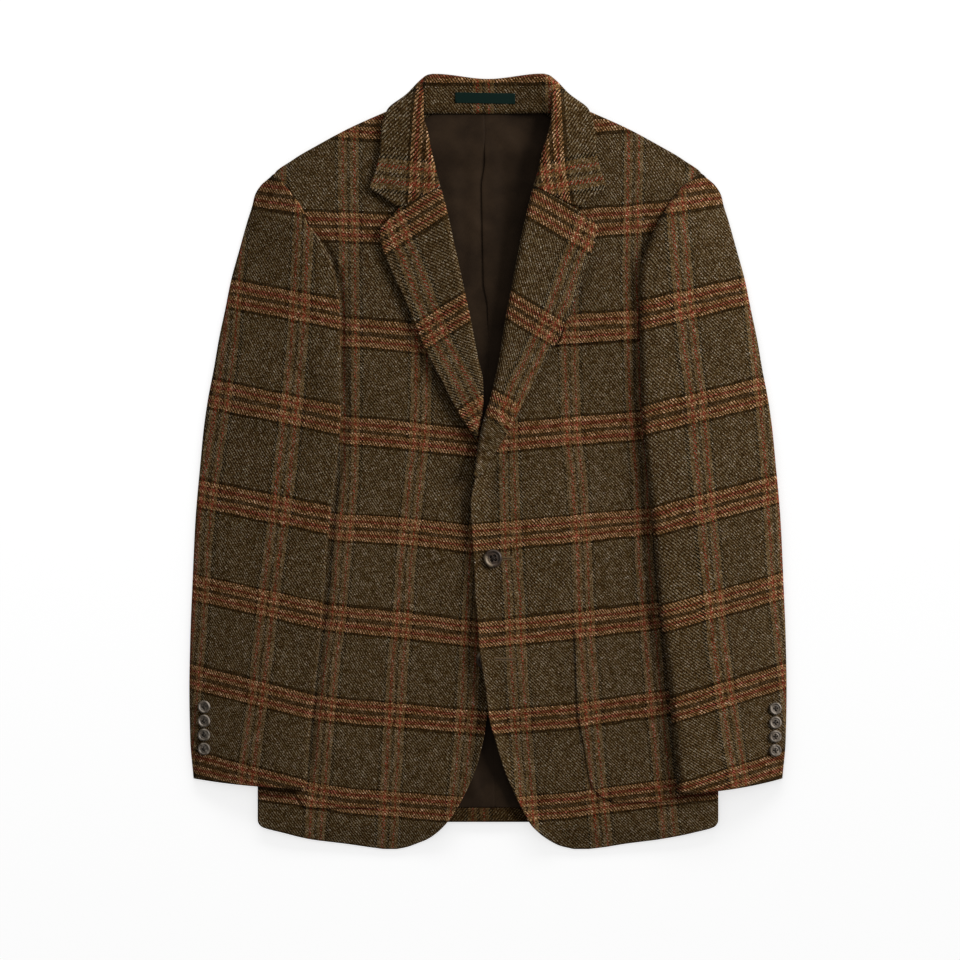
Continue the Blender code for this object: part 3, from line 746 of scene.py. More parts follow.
UPRIGHT_BANDS = {
    RIGHT: {
        -2: ((337.6, -146.5), (117, -145), (-19, -145), (-103, -153.3), (-166, -158.6), (-208, -165),
             (-271, -171), (-355, -178.5)),
        -1: ((337.6, -70.2), (64.6, -70.0), (22.6, -72.2), (-19.4, -77.2), (-103, -86.6),
             (-166, -90.3), (-208, -95), (-250, -97), (-334, -102), (-397, -105)),
        0: ((337.6, 4), (22, 2), (-103, -13), (-198, -19), (-250, -21.5), (-292, -24.4), (-334, -29.4)),
    },
    LEFT: {
        2: ((337.6, 153.3), (190.6, 150.7), (64.6, 154.4), (-19.4, 161.7), (-103, 163.8),
            (-187, 171.2), (-250, 176.4), (-345, 185.9)),
        1: ((337.6, 85), (106.6, 85.6), (22.6, 88.2), (-19.4, 94.2), (-103, 99.8), (-187, 102.6),
            (-292, 110.3), (-345, 114.5), (-397, 120)),
        0: ((337.6, 20), (-19, 22.1), (-103, 24.9), (-145, 27.7), (-187, 29.1), (-229, 31.2),
            (-271, 34), (-313, 37.5), (-355, 40.3)),
    },
}
FRONT_CREASES = {
    RIGHT: (
        (-86, 40, -40, -60, 8, 22, -1.2),
        (-150, 90, -128, -20, 6, 18, -1.4),
        (-120, -60, -178, -140, -6, 20, 1.0),
        (-40, -110, -70, -190, 4, 16, -0.8),
        (-130, 230, -112, 120, -8, 20, 1.0),
        (-185, -280, -120, -330, 5, 14, 0.7),
        (-60, -300, -70, -385, 4, 16, 0.8),
    ),
    LEFT: (
        (8, 0, 4, -52, -4, 9, -2.0),
        (150, 0, 128, -90, 8, 18, -1.2),
        (60, -60, 100, -150, 6, 20, 0.9),
        (62, -190, 84, -260, -6, 16, -1.0),
        (118, 190, 140, 80, 6, 20, 1.0),
        (150, -120, 172, -190, 6, 16, -1.0),
        (70, -300, 76, -390, -4, 16, 0.8),
        (114, 234, 73, 120, 0, 7, -2.1),
        (83, 142, 8, 8, 0, 6.5, -1.7),
        (26, 26, -4, -26, 2, 4.5, -2.2),
    ),
}


def sleeve_inner(side, y):
    """The armhole seam, and below it the sleeve's front fold."""
    armhole = tuple((height, place - 4 * SEAM) for height, place in ARMHOLE[side])
    return edge(SLEEVE_HEAD_TOP + armhole[:ARMHOLE_SEAM_ROWS] + SLEEVE_FOLD[side], y)


def shoulder_distance(x, y):
    """How far a point lies below the shoulder's folded edge."""
    return edge(tuple((x_out, height) for height, x_out in SHOULDER) + (NECK_POINT,), np.abs(x)) - y


def beside_sleeve(rest, side, x, y):
    """The right front's trough along the sleeve's fold, the swell beside it and the sunk chest."""
    from_fold = sleeve_inner(side, y) - side * x
    broad = between(y, *BROAD_ROWS)
    below, beside = SLEEVE_SWELL_WIDTH
    far = (from_fold - SLEEVE_SWELL_AT) / np.where(from_fold < SLEEVE_SWELL_AT, below, beside)
    swell = (SLEEVE_SWELL + BROAD_SWELL * broad) * np.exp(-(far**2)) * between(y, *SWELL_ROWS)
    width = HOLLOW_WIDTH + BROAD_HOLLOW * broad
    hollow = SLEEVE_HOLLOW * np.exp(-(((from_fold - HOLLOW_AT) / width) ** 2))
    sink = CHEST_SINK * np.exp(-((from_fold / CHEST_SINK_WIDTH) ** 2))
    low = hollow * between(y, *HOLLOW_ROWS) + sink * between(y, CHEST, HOLLOW_ROWS[1])
    return np.maximum(rest + swell - low, np.minimum(rest + swell, LEAST_REST))


def front_rest(side, x, y):
    """The front lies on the lining, stands off it over the chest, and closes on the back all round."""
    rest = FRONT_REST + CHEST_PUFF * ease(*CHEST, y)
    at_edge = BACK_WALL + 2 * SEAM + back_rest(x, y)
    rest = at_edge + (rest - at_edge) * ease(*SHOULDER_ROUND, shoulder_distance(x, y))
    at_side = 1 - ease(*SIDE_ROUND, body_edge(side, y) - side * x)
    rest = rest + (SIDE_REST - rest) * at_side * (1 - ease(*SLEEVE_HEAD, y))
    if side == RIGHT:
        rest = beside_sleeve(rest, side, x, y)
    from_edge = side * (x - edge(FRONT_EDGE[side], y))
    rest = rest + edge(EDGE_CURL[side], y) * (1 - np.clip(from_edge / EDGE_CURL_REACH, 0, 1)) ** 2
    if side == LEFT:
        rest = rest + OVERLAP_LIFT * between(y, *OVERLAPPED) * (1 - ease(*OVERLAP_REACH, x))
        over_button = np.exp(-(((y - LOWER_BUTTON_AT[1]) / BUTTON_SPREAD) ** 2))
        rest = rest + BUTTON_LIFT * over_button * (1 - ease(*BUTTON_REACH, x))
    return rest * ease(*HEM_ON_TABLE, y)


def on_front(side, x, y):
    return front_rest(side, x, y) + FRONT_WALL + LAY


def front_inner(side, y):
    """The front's inner edge: inside the lapel's roll, then the lapped edge and the cutaway."""
    wrapped = [row for row in ROLL[side] if row[0] > ROLL_WRAP_END[side]]
    roll = tuple((height, place + side * ROLL_INSET) for height, place in wrapped)
    return edge(roll + FRONT_EDGE[side], y)


def front_weave(side):
    return check_at(UPRIGHT_BANDS[side], LEVEL_BANDS[side], FRONT_CHECK)


def front_creases(side, x, y):
    """The creases, none so deep that the front would sink into the lining."""
    clear = np.minimum(LEAST_REST - front_rest(side, x, y), 0)
    return np.maximum(creased(x, y, FRONT_CREASES[side]) * ease(*HEM_ON_TABLE, y), clear)


for side, name in SIDES.items():
    piece = lay(
        "front_" + name,
        outline(FRONT_TOP, FRONT_FOOT, partial(front_inner, side),
                lambda y: side * body_edge(side, y, FRONT_HEM[side])),
        lambda x, y: front_rest(side, x, y) + FRONT_WALL / 2 + front_creases(side, x, y),
        FRONT_WALL,
        tweed_cloth,
        front_weave(side),
        spacing=2.7,
    )

# ---------------------------------------- HIP POCKETS.

POCKET_WALL = 1.1
POCKET_REACH = 205
POCKET_CORNER = 12
POCKET_CORNER_TOP = -344
POCKET_LAY = 0.25
POCKET_INNER = {
    RIGHT: ((-180, -84), (-261, -83), (-324, -89), (-345, -93), (-357, -103), (-364, -120)),
    LEFT: ((-176, 91), (-253, 93), (-300, 101), (-338, 108), (-351, 118), (-358, 133)),
}

for side, name in SIDES.items():
    top, foot = POCKET_INNER[side][0][0], POCKET_INNER[side][-1][0]

    def pocket_outer(y):
        return side * (POCKET_REACH - POCKET_CORNER * ease(POCKET_CORNER_TOP, foot, y))

    def pocket_middle(x, y):
        return on_front(side, x, y) - LAY + POCKET_LAY + POCKET_WALL / 2 + front_creases(side, x, y)

    piece = lay(
        "hip_pocket_" + name,
        outline(top, foot, partial(edge, POCKET_INNER[side]), pocket_outer),
        pocket_middle,
        POCKET_WALL,
        tweed_cloth,
        front_weave(side),
        spacing=3.2,
    )

# ----------------------------------------
# BREAST WELT. A strip of the tweed over the mouth of the breast pocket, matched to the front's
# check and rising towards the armhole.

WELT_WALL = 1.0
WELT_END = 158
WELT_SLOPE = 7
WELT_INNER = ((155, 84.5), (143, 80.5), (129, 76.5), (122, 71.5))


def welt_place(corners):
    x, y = corners.T
    start = edge(WELT_INNER, y)
    return np.column_stack([x, y + WELT_SLOPE * (x - start) / (WELT_END - start)])


piece = lay(
    "breast_welt",
    outline(WELT_INNER[0][0], WELT_INNER[-1][0], partial(edge, WELT_INNER), upright(WELT_END)),
    lambda x, y: on_front(LEFT, x, y) + WELT_WALL / 2 + front_creases(LEFT, x, y),
    WELT_WALL,
    tweed_cloth,
    front_weave(LEFT),
    spacing=3.2,
    place=welt_place,
)

# ----------------------------------------
# LAPELS. The facings turned back over the fronts. Each rolls softly along its fold, and its
# check lies at a slant because the facing is cut with the front's edge.

LAPEL_EDGE = {
    RIGHT: (
        (285.5, -53.5), (277, -71.5), (266, -93), (253, -105), (243, -113.5), (227, -111.5),
        (201, -102), (164, -85), (128, -70.6), (100, -57.2), (88, -50.4), (70, -41.5), (52, -32),
        (38, -22.5), (24, -13.5),
    ),
    LEFT: (
        (285.5, 53.5), (277, 71), (266, 91), (256, 104), (246, 115.5), (228, 111.2), (202, 102.5),
        (178, 94), (152, 84.5), (128, 73), (103, 58.4), (78, 45), (52, 32), (28, 19.5), (15, 11),
        (-1, 1.5), (-15, -8),
    ),
}
# How much higher the roll stands than the edge, and how much of it is only near the neck
LAPEL_LIFT = {RIGHT: 2.6, LEFT: 2.8}
NECK_LIFT = {RIGHT: 0.8, LEFT: 5.6}
NECK_LIFTED = (90, 320)
LAPEL_LAY = {RIGHT: 2.0, LEFT: 2.8}
LAPEL_EDGE_TURN = {RIGHT: -0.6, LEFT: 1.7}
LAPEL_TURN_TOP = (225, 262)
LAPEL_TURN_REACH = 9
# The right lapel bows up half way along its edge
LAPEL_BOW = 2.2
LAPEL_BOWED = ((0, 45), (90, 140))
LAPEL_CHECK = 9
NOTCH_FOOT = 247
TURNED_OUTER = ((398, 74.5), (388, 84), (369, 106), (350, 112), (327, 113.5), (306, 117), (270, 114))
ROLL_RISE = 1.6
ROLL_DROP = 5.0
ROLL_ROUND = 6.0
# A narrower lapel than this rolls over less
FULL_ROLL_WIDTH = 20
LAPEL_LEVEL_BANDS = {
    RIGHT: {
        0: ((-90.7, 245.6), (-62.3, 263.7)),
        -1: ((-54.6, 140.5), (-24.7, 159.5)),
        -2: ((-38.9, 32.7), (-18.9, 45.4)),
    },
    LEFT: {
        0: ((64.1, 260.2), (95.2, 242.2)),
        -1: ((40.8, 152.6), (69.3, 135.5)),
        -2: ((20, 52), (40, 40.2)),
    },
}
LAPEL_UPRIGHT_BANDS = {
    RIGHT: {
        0: ((251.5, -97.7), (232.6, -91.4), (216.8, -84), (197.9, -76.7), (180.1, -70.4),
            (164.3, -64.1), (146.5, -57.8), (127.6, -50.4), (111.8, -42), (89.8, -29.9),
            (71.9, -20.5), (58.3, -13.7)),
        1: ((251.5, -12.7), (180.1, 14.6), (127.6, 34.6), (89.8, 55.1), (58.3, 71.3)),
    },
    LEFT: {
        0: ((241, 100.8), (227.3, 96.6), (213.7, 89.3), (195.8, 83.5), (180.1, 78.8), (164.3, 73.5),
            (146.5, 64.6), (131.8, 57.2), (115, 49.4), (101.3, 43.6), (85.6, 35.2), (70.9, 29.4),
            (54, 21.5), (42, 23), (30, 31), (15, 44), (-15, 62)),
        -1: ((241, 15.8), (180.1, -6.2), (131.8, -27.8), (101.3, -41.4), (54, -63.5), (42, -62),
             (30, -54), (15, -41), (-15, -23)),
    },
}


def turned_share(side, x, y):
    """0 along the outer edge of the turned cloth, leaf and lapel, and 1 at its fold."""
    below = tuple((height, abs(place)) for height, place in LAPEL_EDGE[side] if height < NOTCH_FOOT)
    outer = edge(TURNED_OUTER + below, y)
    inner = side * edge(ROLL[side], y)
    return np.clip((outer - side * x) / np.maximum(outer - inner, 1), 0, 1)


def roll_lift(side, x, y):
    """The turned cloth rises towards its fold, most beside the neck."""
    lift = LAPEL_LIFT[side] + NECK_LIFT[side] * ease(*NECK_LIFTED, y)
    return lift * turned_share(side, x, y) ** ROLL_RISE


def fold_line(side, top, foot, marks):
    """The turned cloth's fold, between two heights."""
    heights = np.linspace(top, foot, marks)
    return np.column_stack([edge(ROLL[side], heights), heights])


def rolled(far):
    """How far the cloth has turned down at this distance from its fold."""
    share = 1 - np.clip(far / ROLL_ROUND, 0, 1)
    return ROLL_DROP * (1 - np.sqrt(np.maximum(1 - share**2.2, 0)))


for side, name in SIDES.items():
    top, foot = LAPEL_EDGE[side][0][0], LAPEL_EDGE[side][-1][0]
    fold = fold_line(side, 300, foot - 4, 200)

    def lapel_middle(x, y):
        outer, inner = edge(LAPEL_EDGE[side], y), edge(ROLL[side], y)
        width = inner - outer
        level = on_front(side, x, y) + LAPEL_LAY[side] - LAY + roll_lift(side, x, y)
        turn = LAPEL_EDGE_TURN[side] * (1 - ease(*LAPEL_TURN_TOP, y))
        level -= turn * (1 - np.clip(side * (outer - x) / LAPEL_TURN_REACH, 0, 1)) ** 2
        if side == RIGHT:
            share = np.clip((x - outer) / np.where(np.abs(width) < 1, 1, width), 0, 1)
            level += LAPEL_BOW * between(y, *LAPEL_BOWED) * (1 - share)
        narrow = np.clip(np.abs(width) / FULL_ROLL_WIDTH, 0.3, 1)
        drop = rolled(away(np.column_stack([x, y]), fold) / narrow) * narrow
        return level + LAPEL_WALL / 2 - drop

    piece = lay(
        "lapel_" + name,
        outline(top, foot, partial(edge, LAPEL_EDGE[side]), partial(edge, ROLL[side])),
        lapel_middle,
        LAPEL_WALL,
        tweed_cloth,
        check_at(LAPEL_UPRIGHT_BANDS[side], LAPEL_LEVEL_BANDS[side], LAPEL_CHECK),
        spacing=2.6,
    )

# ----------------------------------------
# COLLAR. Behind the neck the stand faces up, folds over at the top and its fall lies under the
# back. A leaf on each side lies on the front and meets the lapel at the gorge and the notch.

NECK_SEAM_Y = 365.3
COLLAR_HALF = 66.5
COLLAR_CORNER = 58
COLLAR_TOP_MIDDLE = 402
COLLAR_TOP_EAR = 407.4
FALL_END_Y = 352
STAND_TOP = 9.8
COLLAR_EDGE = (
    (407.3, 61), (406.5, 64), (403, 69), (398, 74.5), (388, 84), (369, 106), (350, 112),
    (327, 113.5), (306, 118), (286, 124), (280, 114), (273, 104), (268, 97),
)
GORGE = ((288, 50), (280, 65.5), (273, 79.5), (268, 89.5))
GORGE_GAP = -0.2
LEAF_SEAM = 0.4
LEAF_LAY = {RIGHT: 1.9, LEFT: 2.9}
EAR_REST = 6.4
EAR_TIP_RISE = 1.2
EAR = (368, 400)
LEAF_CURL = (370, 384)
LEAF_CURL_WIDTH = (-2, 13)
LEAF_CURL_REST = 0.6
# At the neck's left side the stand and the leaf curl up
NECK_CURL = {RIGHT: 0, LEFT: 8.2}
STAND_CURL = 6.6
NECK_CURL_REACH = (22, 64)
LEAF_CHECK = 3


def next_band(n, line, shift):
    """A band of the check and the next one, a repeat away."""
    return {0: line, n: tuple((t, place + shift) for t, place in line)}


LEAF_UPRIGHT_BANDS = {
    RIGHT: next_band(-1, ((395.3, -61.6), (360.7, -65.8), (327.1, -67.4), (291.4, -69.3)), 102),
    LEFT: next_band(1, ((388.5, 62.6), (343.2, 65.1), (299.8, 68.6), (286.1, 71.1)), -102),
}
LEAF_LEVEL_BANDS = {
    RIGHT: next_band(1, ((-97.6, 300.8), (-60, 297)), 110),
    LEFT: next_band(1, ((81.9, 298.7), (117.6, 305)), 110),
}


def leaf_rest(side, x, y):
    """The leaf lies on the front, and curls down behind the shoulder beside the neck."""
    on_chest = on_front(side, x, np.minimum(y, NECK_SEAM_Y)) + LEAF_LAY[side] - LAY
    on_chest = on_chest + roll_lift(side, x, y)
    ear = EAR_REST + EAR_TIP_RISE * (1 - ease(*EAR, y))
    ear = ear + NECK_CURL[side] * turned_share(side, x, y) ** ROLL_RISE
    level = on_chest + (ear - on_chest) * ease(*EAR, y)
    curl = ease(*LEAF_CURL_WIDTH, edge(COLLAR_EDGE, y) - np.abs(x))
    curled = LEAF_CURL_REST + (level - LEAF_CURL_REST) * curl
    return level + (curled - level) * ease(*LEAF_CURL, y)


for side, name in SIDES.items():
    fold = fold_line(side, 410, 286, 120)

    def leaf_inner(y):
        below = side * (edge(GORGE, y) + GORGE_GAP)
        return np.where(y < GORGE[0][0], below, edge(ROLL[side], y) + side * LEAF_SEAM)

    def leaf_middle(x, y):
        return leaf_rest(side, x, y) + LAPEL_WALL / 2 - rolled(away(np.column_stack([x, y]), fold))

    piece = lay(
        "collar_leaf_" + name,
        outline(COLLAR_EDGE[0][0], COLLAR_EDGE[-1][0], lambda y: side * edge(COLLAR_EDGE, y), leaf_inner),
        leaf_middle,
        LAPEL_WALL,
        tweed_cloth,
        lambda x, y: (
            CHECK_ACROSS * (counted(y, x, LEAF_LEVEL_BANDS[side]) + LEAF_CHECK),
            CHECK_ALONG * counted(x, y, LEAF_UPRIGHT_BANDS[side]),
        ),
        spacing=2.4,
    )

# The stand, fold and fall behind the neck, as one strip bent over
STAND_CORNER_DROP = 6
STAND_CHECK = (4.7 + 6 * CHECK_ACROSS, -46)
STAND_END = (0.1, 0.7, 0.95)
STAND_COLUMNS = 66
STAND_EAR = (0, 56)
# Corners up the stand, round its fold and down its fall
STAND_ROWS, FOLD_ROWS, FALL_ROWS = 16, 15, 14
FOLD_TURN = (80, -80)
radius = (STAND_TOP - COLLAR_WALL) / 2
columns = np.linspace(-COLLAR_HALF - 2, COLLAR_HALF + 1, STAND_COLUMNS)
section = []
for x in columns:
    curl = STAND_CURL * float(ease(*NECK_CURL_REACH, x))
    top = COLLAR_TOP_MIDDLE + (COLLAR_TOP_EAR - COLLAR_TOP_MIDDLE) * float(ease(*STAND_EAR, abs(x)))
    past_corner = max(abs(x) - COLLAR_CORNER, 0) / (COLLAR_HALF - COLLAR_CORNER)
    top = top - STAND_CORNER_DROP * past_corner**2 - COLLAR_WALL / 2 - radius
    upper = [(y, COLLAR_WALL / 2 + 2 * radius) for y in np.linspace(NECK_SEAM_Y, top, STAND_ROWS)]
    turned = [
        (top + radius * math.cos(a), COLLAR_WALL / 2 + radius * (1 + math.sin(a)))
        for a in np.radians(np.linspace(*FOLD_TURN, FOLD_ROWS))
    ]
    lower = [(y, COLLAR_WALL / 2) for y in np.linspace(top, FALL_END_Y, FALL_ROWS)]
    whole = upper + turned + lower
    section.append([(y, z + curl * (z - COLLAR_WALL / 2) / (2 * radius)) for y, z in whole])
path = np.array(section)
run = np.gradient(path, axis=1)
run /= np.linalg.norm(run, axis=2)[..., None]
outward = np.stack([-run[..., 1], run[..., 0]], axis=2)
count = path.shape[1]
thinned = np.ones(count)
thinned[:3] = thinned[-3:][::-1] = STAND_END
half = COLLAR_WALL / 2 * thinned[None, :, None]
along_strip = np.linalg.norm(np.diff(path, axis=1), axis=2).cumsum(axis=1)
along_strip = np.pad(along_strip, ((0, 0), (1, 0)))
verts, check, faces = [], [], []
for layer in (path + outward * half, path - outward * half):
    for i, x in enumerate(columns):
        for j in range(count):
            verts.append((x, *layer[i, j]))
            check.append((x + STAND_CHECK[0], along_strip[i, j] + STAND_CHECK[1]))
size = len(columns) * count
for i in range(len(columns) - 1):
    for j in range(count - 1):
        a = i * count + j
        b = a + count
        faces.append((a, b, b + 1, a + 1))
        faces.append((size + a, size + a + 1, size + b + 1, size + b))
for j in range(count - 1):
    last = size - count + j
    faces.append((j, j + 1, size + j + 1, size + j))
    faces.append((last, size + last, size + last + 1, last + 1))
for i in range(len(columns) - 1):
    a, b = i * count, (i + 1) * count
    faces.append((a, size + a, size + b, b))
    faces.append((a + count - 1, b + count - 1, size + b + count - 1, size + a + count - 1))
mesh = bpy.data.meshes.new("collar_back_cloth")
mesh.from_pydata((np.array(verts) * MM).tolist(), [], faces)
# The stand's tweed is darkened a little all over: painted shade
shaded_stand_tweed = tweed("check_tweed_stand_painted_shade", tone=0.82)
piece = cloth_object("collar_back", mesh, np.array(check) * MM, shaded_stand_tweed)

# ----------------------------------------
# NECK LABEL. A bare label woven in dark green with a fine rib. It is sewn on to the stand, a
# little out of level.

LABEL_WALL = 0.6
LABEL_ENDS = (-34.5, 28.5)
LABEL_EDGES_Y = (387.6, 376.4)
LABEL_SLANT = 1.2

label, tree, shader = finish("green_label")
cloth_map = add(tree, "UVMap", uv_map="cloth").outputs[0]
rib = add(tree, "TexWave", {"Vector": cloth_map, "Scale": 480}, wave_type="BANDS", bands_direction="Y")
feed(tree, shader, {
    "Base Color": two_tone(
        tree, rib.outputs["Fac"], (0.0016, 0.0058, 0.0046), (0.0032, 0.0105, 0.0082)
    ),
    "Roughness": 0.6,
    "Specular IOR Level": 0.03,
})


def label_place(corners):
    x, y = corners.T
    share = (x - LABEL_ENDS[0]) / (LABEL_ENDS[1] - LABEL_ENDS[0])
    return np.column_stack([x, y - LABEL_SLANT * share])


piece = lay(
    "neck_label",
    outline(*LABEL_EDGES_Y, *map(upright, LABEL_ENDS)),
    lambda x, y: STAND_TOP + LAY / 2 + LABEL_WALL / 2 + STAND_CURL * ease(*NECK_CURL_REACH, x),
    LABEL_WALL,
    label,
    lambda x, y: (x, y),
    spacing=2,
    place=label_place,
)

# ----------------------------------------
# SLEEVES. Each is an under and a top half in the tweed, lined and eased into the armhole. It lies
# over the side of the body, and its check runs down to the body's.

UNDER_SLEEVE_WALL = 1.8
TOP_SLEEVE_WALL = 2.4
SLEEVE_TOP = 304
SLEEVE_FOOT = -333
SLEEVE_PINCH = 1.3
SLEEVE_FULL = {RIGHT: (0.8, 1.2), LEFT: (1.4, 3.0)}
SLEEVE_ROLL = {RIGHT: 1.6, LEFT: 8}
SLEEVE_ROOF = {RIGHT: 0.4, LEFT: 0.3}
SLEEVE_LOWER = {RIGHT: 0.9, LEFT: 0}
SLEEVE_OUTER_ROLL = 5
SLEEVE_FLAT = 4
CUFF_DROP = {RIGHT: 10, LEFT: 15}
CUFF_CURVE = (-140, -333)
BODY_FADE = (4, 14)
BODY_CLEAR = 0.1
SLEEVE_SEWN = (235, 262)
# The rise over the body is longer at the sleeve's head, and lower in the forearm
SLEEVE_RISE_SHORT = 20
HEAD_LONGER = 14
HEAD_ROWS = (220, 260)
FOREARM = (0, 60)
SLEEVE_CHECK = 12
SLEEVE_OUTER = (
    (304, 222), (301, 226.5), (298, 230), (290, 239), (280, 245), (268, 248), (254, 252.5),
    (222, 261.5), (191, 270), (159, 276.5), (128, 283), (96, 288.5), (65, 294.5), (33, 299),
    (2, 302), (-61, 307.5), (-124, 310.5), (-187, 313), (-240, 313.95), (-292, 313), (-333, 309.5),
)
SLEEVE_REST = (
    (298, 4.2), (264, 6.8), (250, 10.2), (220, 10.2), (90, 10.0), (30, 9.4), (-130, 9.4),
    (-168, 11.0), (-343, 11.0),
)
# The level bands: height at the sleeve's middle, and the slope outwards
SLEEVE_LEVEL_BANDS = {
    RIGHT: (239.4, ((281.9, 0.15), (170.1, 0.195), (60.8, 0.207), (-47.5, 0.20), (-148, 0.22),
                    (-244, 0.25), (-333.4, 0.25))),
    LEFT: (243.6, ((285, 0.15), (172.3, 0.243), (62.5, 0.243), (-45.4, 0.264), (-149.4, 0.269),
                   (-246.2, 0.303), (-336.5, 0.30))),
}
SLEEVE_UPRIGHT_BANDS = {
    RIGHT: {
        0: ((232.6, 194.8), (127.6, 200), (64.6, 206), (-19.4, 214.2), (-82.4, 222.6),
            (-145.4, 230.5), (-187.4, 235.5), (-250.4, 242.5), (-323.9, 252.3)),
        1: ((232.6, 264), (127.6, 271.4), (64.6, 279.3), (-19.4, 293), (-82.4, 299.8),
            (-187.4, 305.6), (-323.9, 318)),
        -1: ((232.6, 114.8), (64.6, 126), (-82.4, 142.6), (-187.4, 155.5), (-323.9, 172.3)),
    },
    LEFT: {
        0: ((232.6, 201.2), (169.6, 205.8), (106.6, 213.2), (64.6, 219.5), (22.6, 222.6),
            (-19.4, 226.3), (-82.4, 232.4), (-145.4, 238.4), (-187.4, 241.9), (-239.9, 248.9),
            (-271.4, 254.7), (-323.9, 263.1)),
        1: ((232.6, 272), (64.6, 291), (-19.4, 297.9), (-82.4, 301.4), (-145.4, 305.1),
            (-323.9, 326)),
        -1: ((232.6, 121.2), (64.6, 139.5), (-82.4, 152.4), (-187.4, 161.9), (-323.9, 183.1)),
    },
}
SLEEVE_CREASES = {
    RIGHT: (
        (-190, 40, -262, 66, 8, 12, 1.6),
        (-172, 70, -232, 104, -6, 11, -1.6),
        (-200, -20, -180, 120, 10, 14, -1.4),
        (-250, 160, -282, 60, 6, 14, 1.2),
        (-196, -120, -250, -96, 5, 13, 1.2),
        (-214, -150, -206, -300, 6, 15, -1.2),
        (-280, -60, -270, -180, 6, 14, 1.0),
    ),
    LEFT: (
        (190, 46, 264, 84, -8, 12, 1.6),
        (180, 84, 240, 124, 6, 11, -1.5),
        (205, -10, 190, 110, -8, 14, -1.2),
        (255, 170, 284, 70, -6, 14, 1.2),
        (204, -100, 262, -70, -5, 13, 1.3),
        (222, -140, 214, -290, -6, 15, -1.2),
        (284, -40, 292, -170, -6, 14, 1.1),
    ),
}


def under_sleeve_rest(side, x, y):
    """On the table at the sleeve's outer fold, rising evenly over the side of the body."""
    outer = edge(SLEEVE_OUTER, y)
    rise = outer - sleeve_inner(side, y) - SLEEVE_FLAT - SLEEVE_RISE_SHORT + HEAD_LONGER * ease(*HEAD_ROWS, y)
    share = np.clip((outer - side * x - SLEEVE_FLAT) / rise, 0, 1)
    lower = SLEEVE_LOWER[side] * (1 - ease(*FOREARM, y))
    roof = SLEEVE_ROOF[side]
    return (edge(SLEEVE_REST, y) - lower) * share * (1 + roof - roof * share)


def clear_of_body(side, x, y):
    """The under sleeve's own surface, lifted off the front's side where the two would cross."""
    beyond = side * x - body_edge(side, y)
    body = (on_front(side, x, y) + BODY_CLEAR) * (1 - ease(*BODY_FADE, beyond))
    return np.maximum(under_sleeve_rest(side, x, y), body * (1 - ease(*SLEEVE_SEWN, y)))


def top_sleeve_rest(side, x, y):
    """Highest just inside the front fold, then sloping down like a roof to the outer one."""
    inner, outer = sleeve_inner(side, y), edge(SLEEVE_OUTER, y)
    from_inner, from_outer = side * x - inner, outer - side * x
    share = np.clip(from_inner / SLEEVE_ROLL[side], 0, 1)
    share = np.minimum(share, np.clip(from_outer / SLEEVE_OUTER_ROLL, 0, 1))
    roll = np.sqrt(np.maximum(1 - (1 - share) ** 2, 0))
    least, more = SLEEVE_FULL[side]
    full = SLEEVE_PINCH + least + more * np.clip(from_outer / (outer - inner), 0, 1)
    return under_sleeve_rest(side, x, y) + UNDER_SLEEVE_WALL + LAY - SLEEVE_PINCH + full * roll


def top_sleeve_surface(side, x, y):
    creases = creased(x, y, SLEEVE_CREASES[side])
    return top_sleeve_rest(side, x, y) + TOP_SLEEVE_WALL + creases


def sleeve_weave(side, x, y):
    middle, bands = SLEEVE_LEVEL_BANDS[side]
    out = side * x
    level = {-k: ((middle, height), (middle + 1, height + slope)) for k, (height, slope) in enumerate(bands)}
    across = CHECK_ACROSS * side * (counted(out, y, SLEEVE_UPRIGHT_BANDS[side]) + SLEEVE_CHECK)
    return across, CHECK_ALONG * counted(y, out, level)


for side, name in SIDES.items():

    def cuff_place(corners):
        x, y = corners.T
        outer, inner = edge(SLEEVE_OUTER, y), sleeve_inner(side, y)
        share = np.clip((outer - side * x) / (outer - inner), 0, 1)
        return np.column_stack([x, y - CUFF_DROP[side] * ease(*CUFF_CURVE, y) * (1 - (1 - share) ** 2)])

    line = outline(SLEEVE_TOP, SLEEVE_FOOT, lambda y: side * edge(SLEEVE_OUTER, y),
                   lambda y: side * sleeve_inner(side, y))
    piece = lay(
        "under_sleeve_" + name,
        line,
        lambda x, y: clear_of_body(side, x, y) + UNDER_SLEEVE_WALL / 2,
        UNDER_SLEEVE_WALL,
        tweed_cloth,
        partial(sleeve_weave, side),
        spacing=4.5,
        place=cuff_place,
    )
    piece = lay(
        "top_sleeve_" + name,
        line,
        lambda x, y: top_sleeve_surface(side, x, y) - TOP_SLEEVE_WALL / 2,
        TOP_SLEEVE_WALL,
        tweed_cloth,
        partial(sleeve_weave, side),
        spacing=3.2,
        place=cuff_place,
    )

# ----------------------------------------
# BUTTONS. Four-hole buttons turned from brown horn, each with a raised rim round a dish, sewn
# on with brown thread. One fastens the front, one lies under the lap, four close each cuff.

FRONT_BUTTON = {"radius": 9.8, "height": 3.8, "turn": 12}
CUFF_BUTTON = {"radius": 6.6, "height": 2.8, "turn": 50}
FRONT_BUTTON_AT = (5.2, -101.6)
CUFF_BUTTONS_AT = {RIGHT: (-298, -257.6, 14.7), LEFT: (301.6, -259.4, 14.6)}
BUTTON_SHANK = 0.5
# The phase that sets where the dark horn's pale streak crosses the front buttons: in part the horn's own
# streak, in part a painted highlight
FRONT_STREAK_AND_HIGHLIGHT = 2.29
# Shares of the radius and of the height, from the middle over the rim to the foot
BUTTON_FACE = (
    (0, 0.74), (0.5, 0.72), (0.62, 0.62), (0.7, 0.86), (0.78, 1), (0.86, 0.95), (0.95, 0.7), (1, 0.3),
)
BUTTON_FOOT = ((0.96, 0.24), (0.78, 0))
BUTTON_MARKS = 72
HOLE_PLACE = 0.28
HOLE_WIDTH = (0.12, 0.17)
HOLE_DEPTH = 0.7
THREAD_WIDTH = (0.04, 0.085)
THREAD_RISE = 0.14
DIAGONAL = 0.707
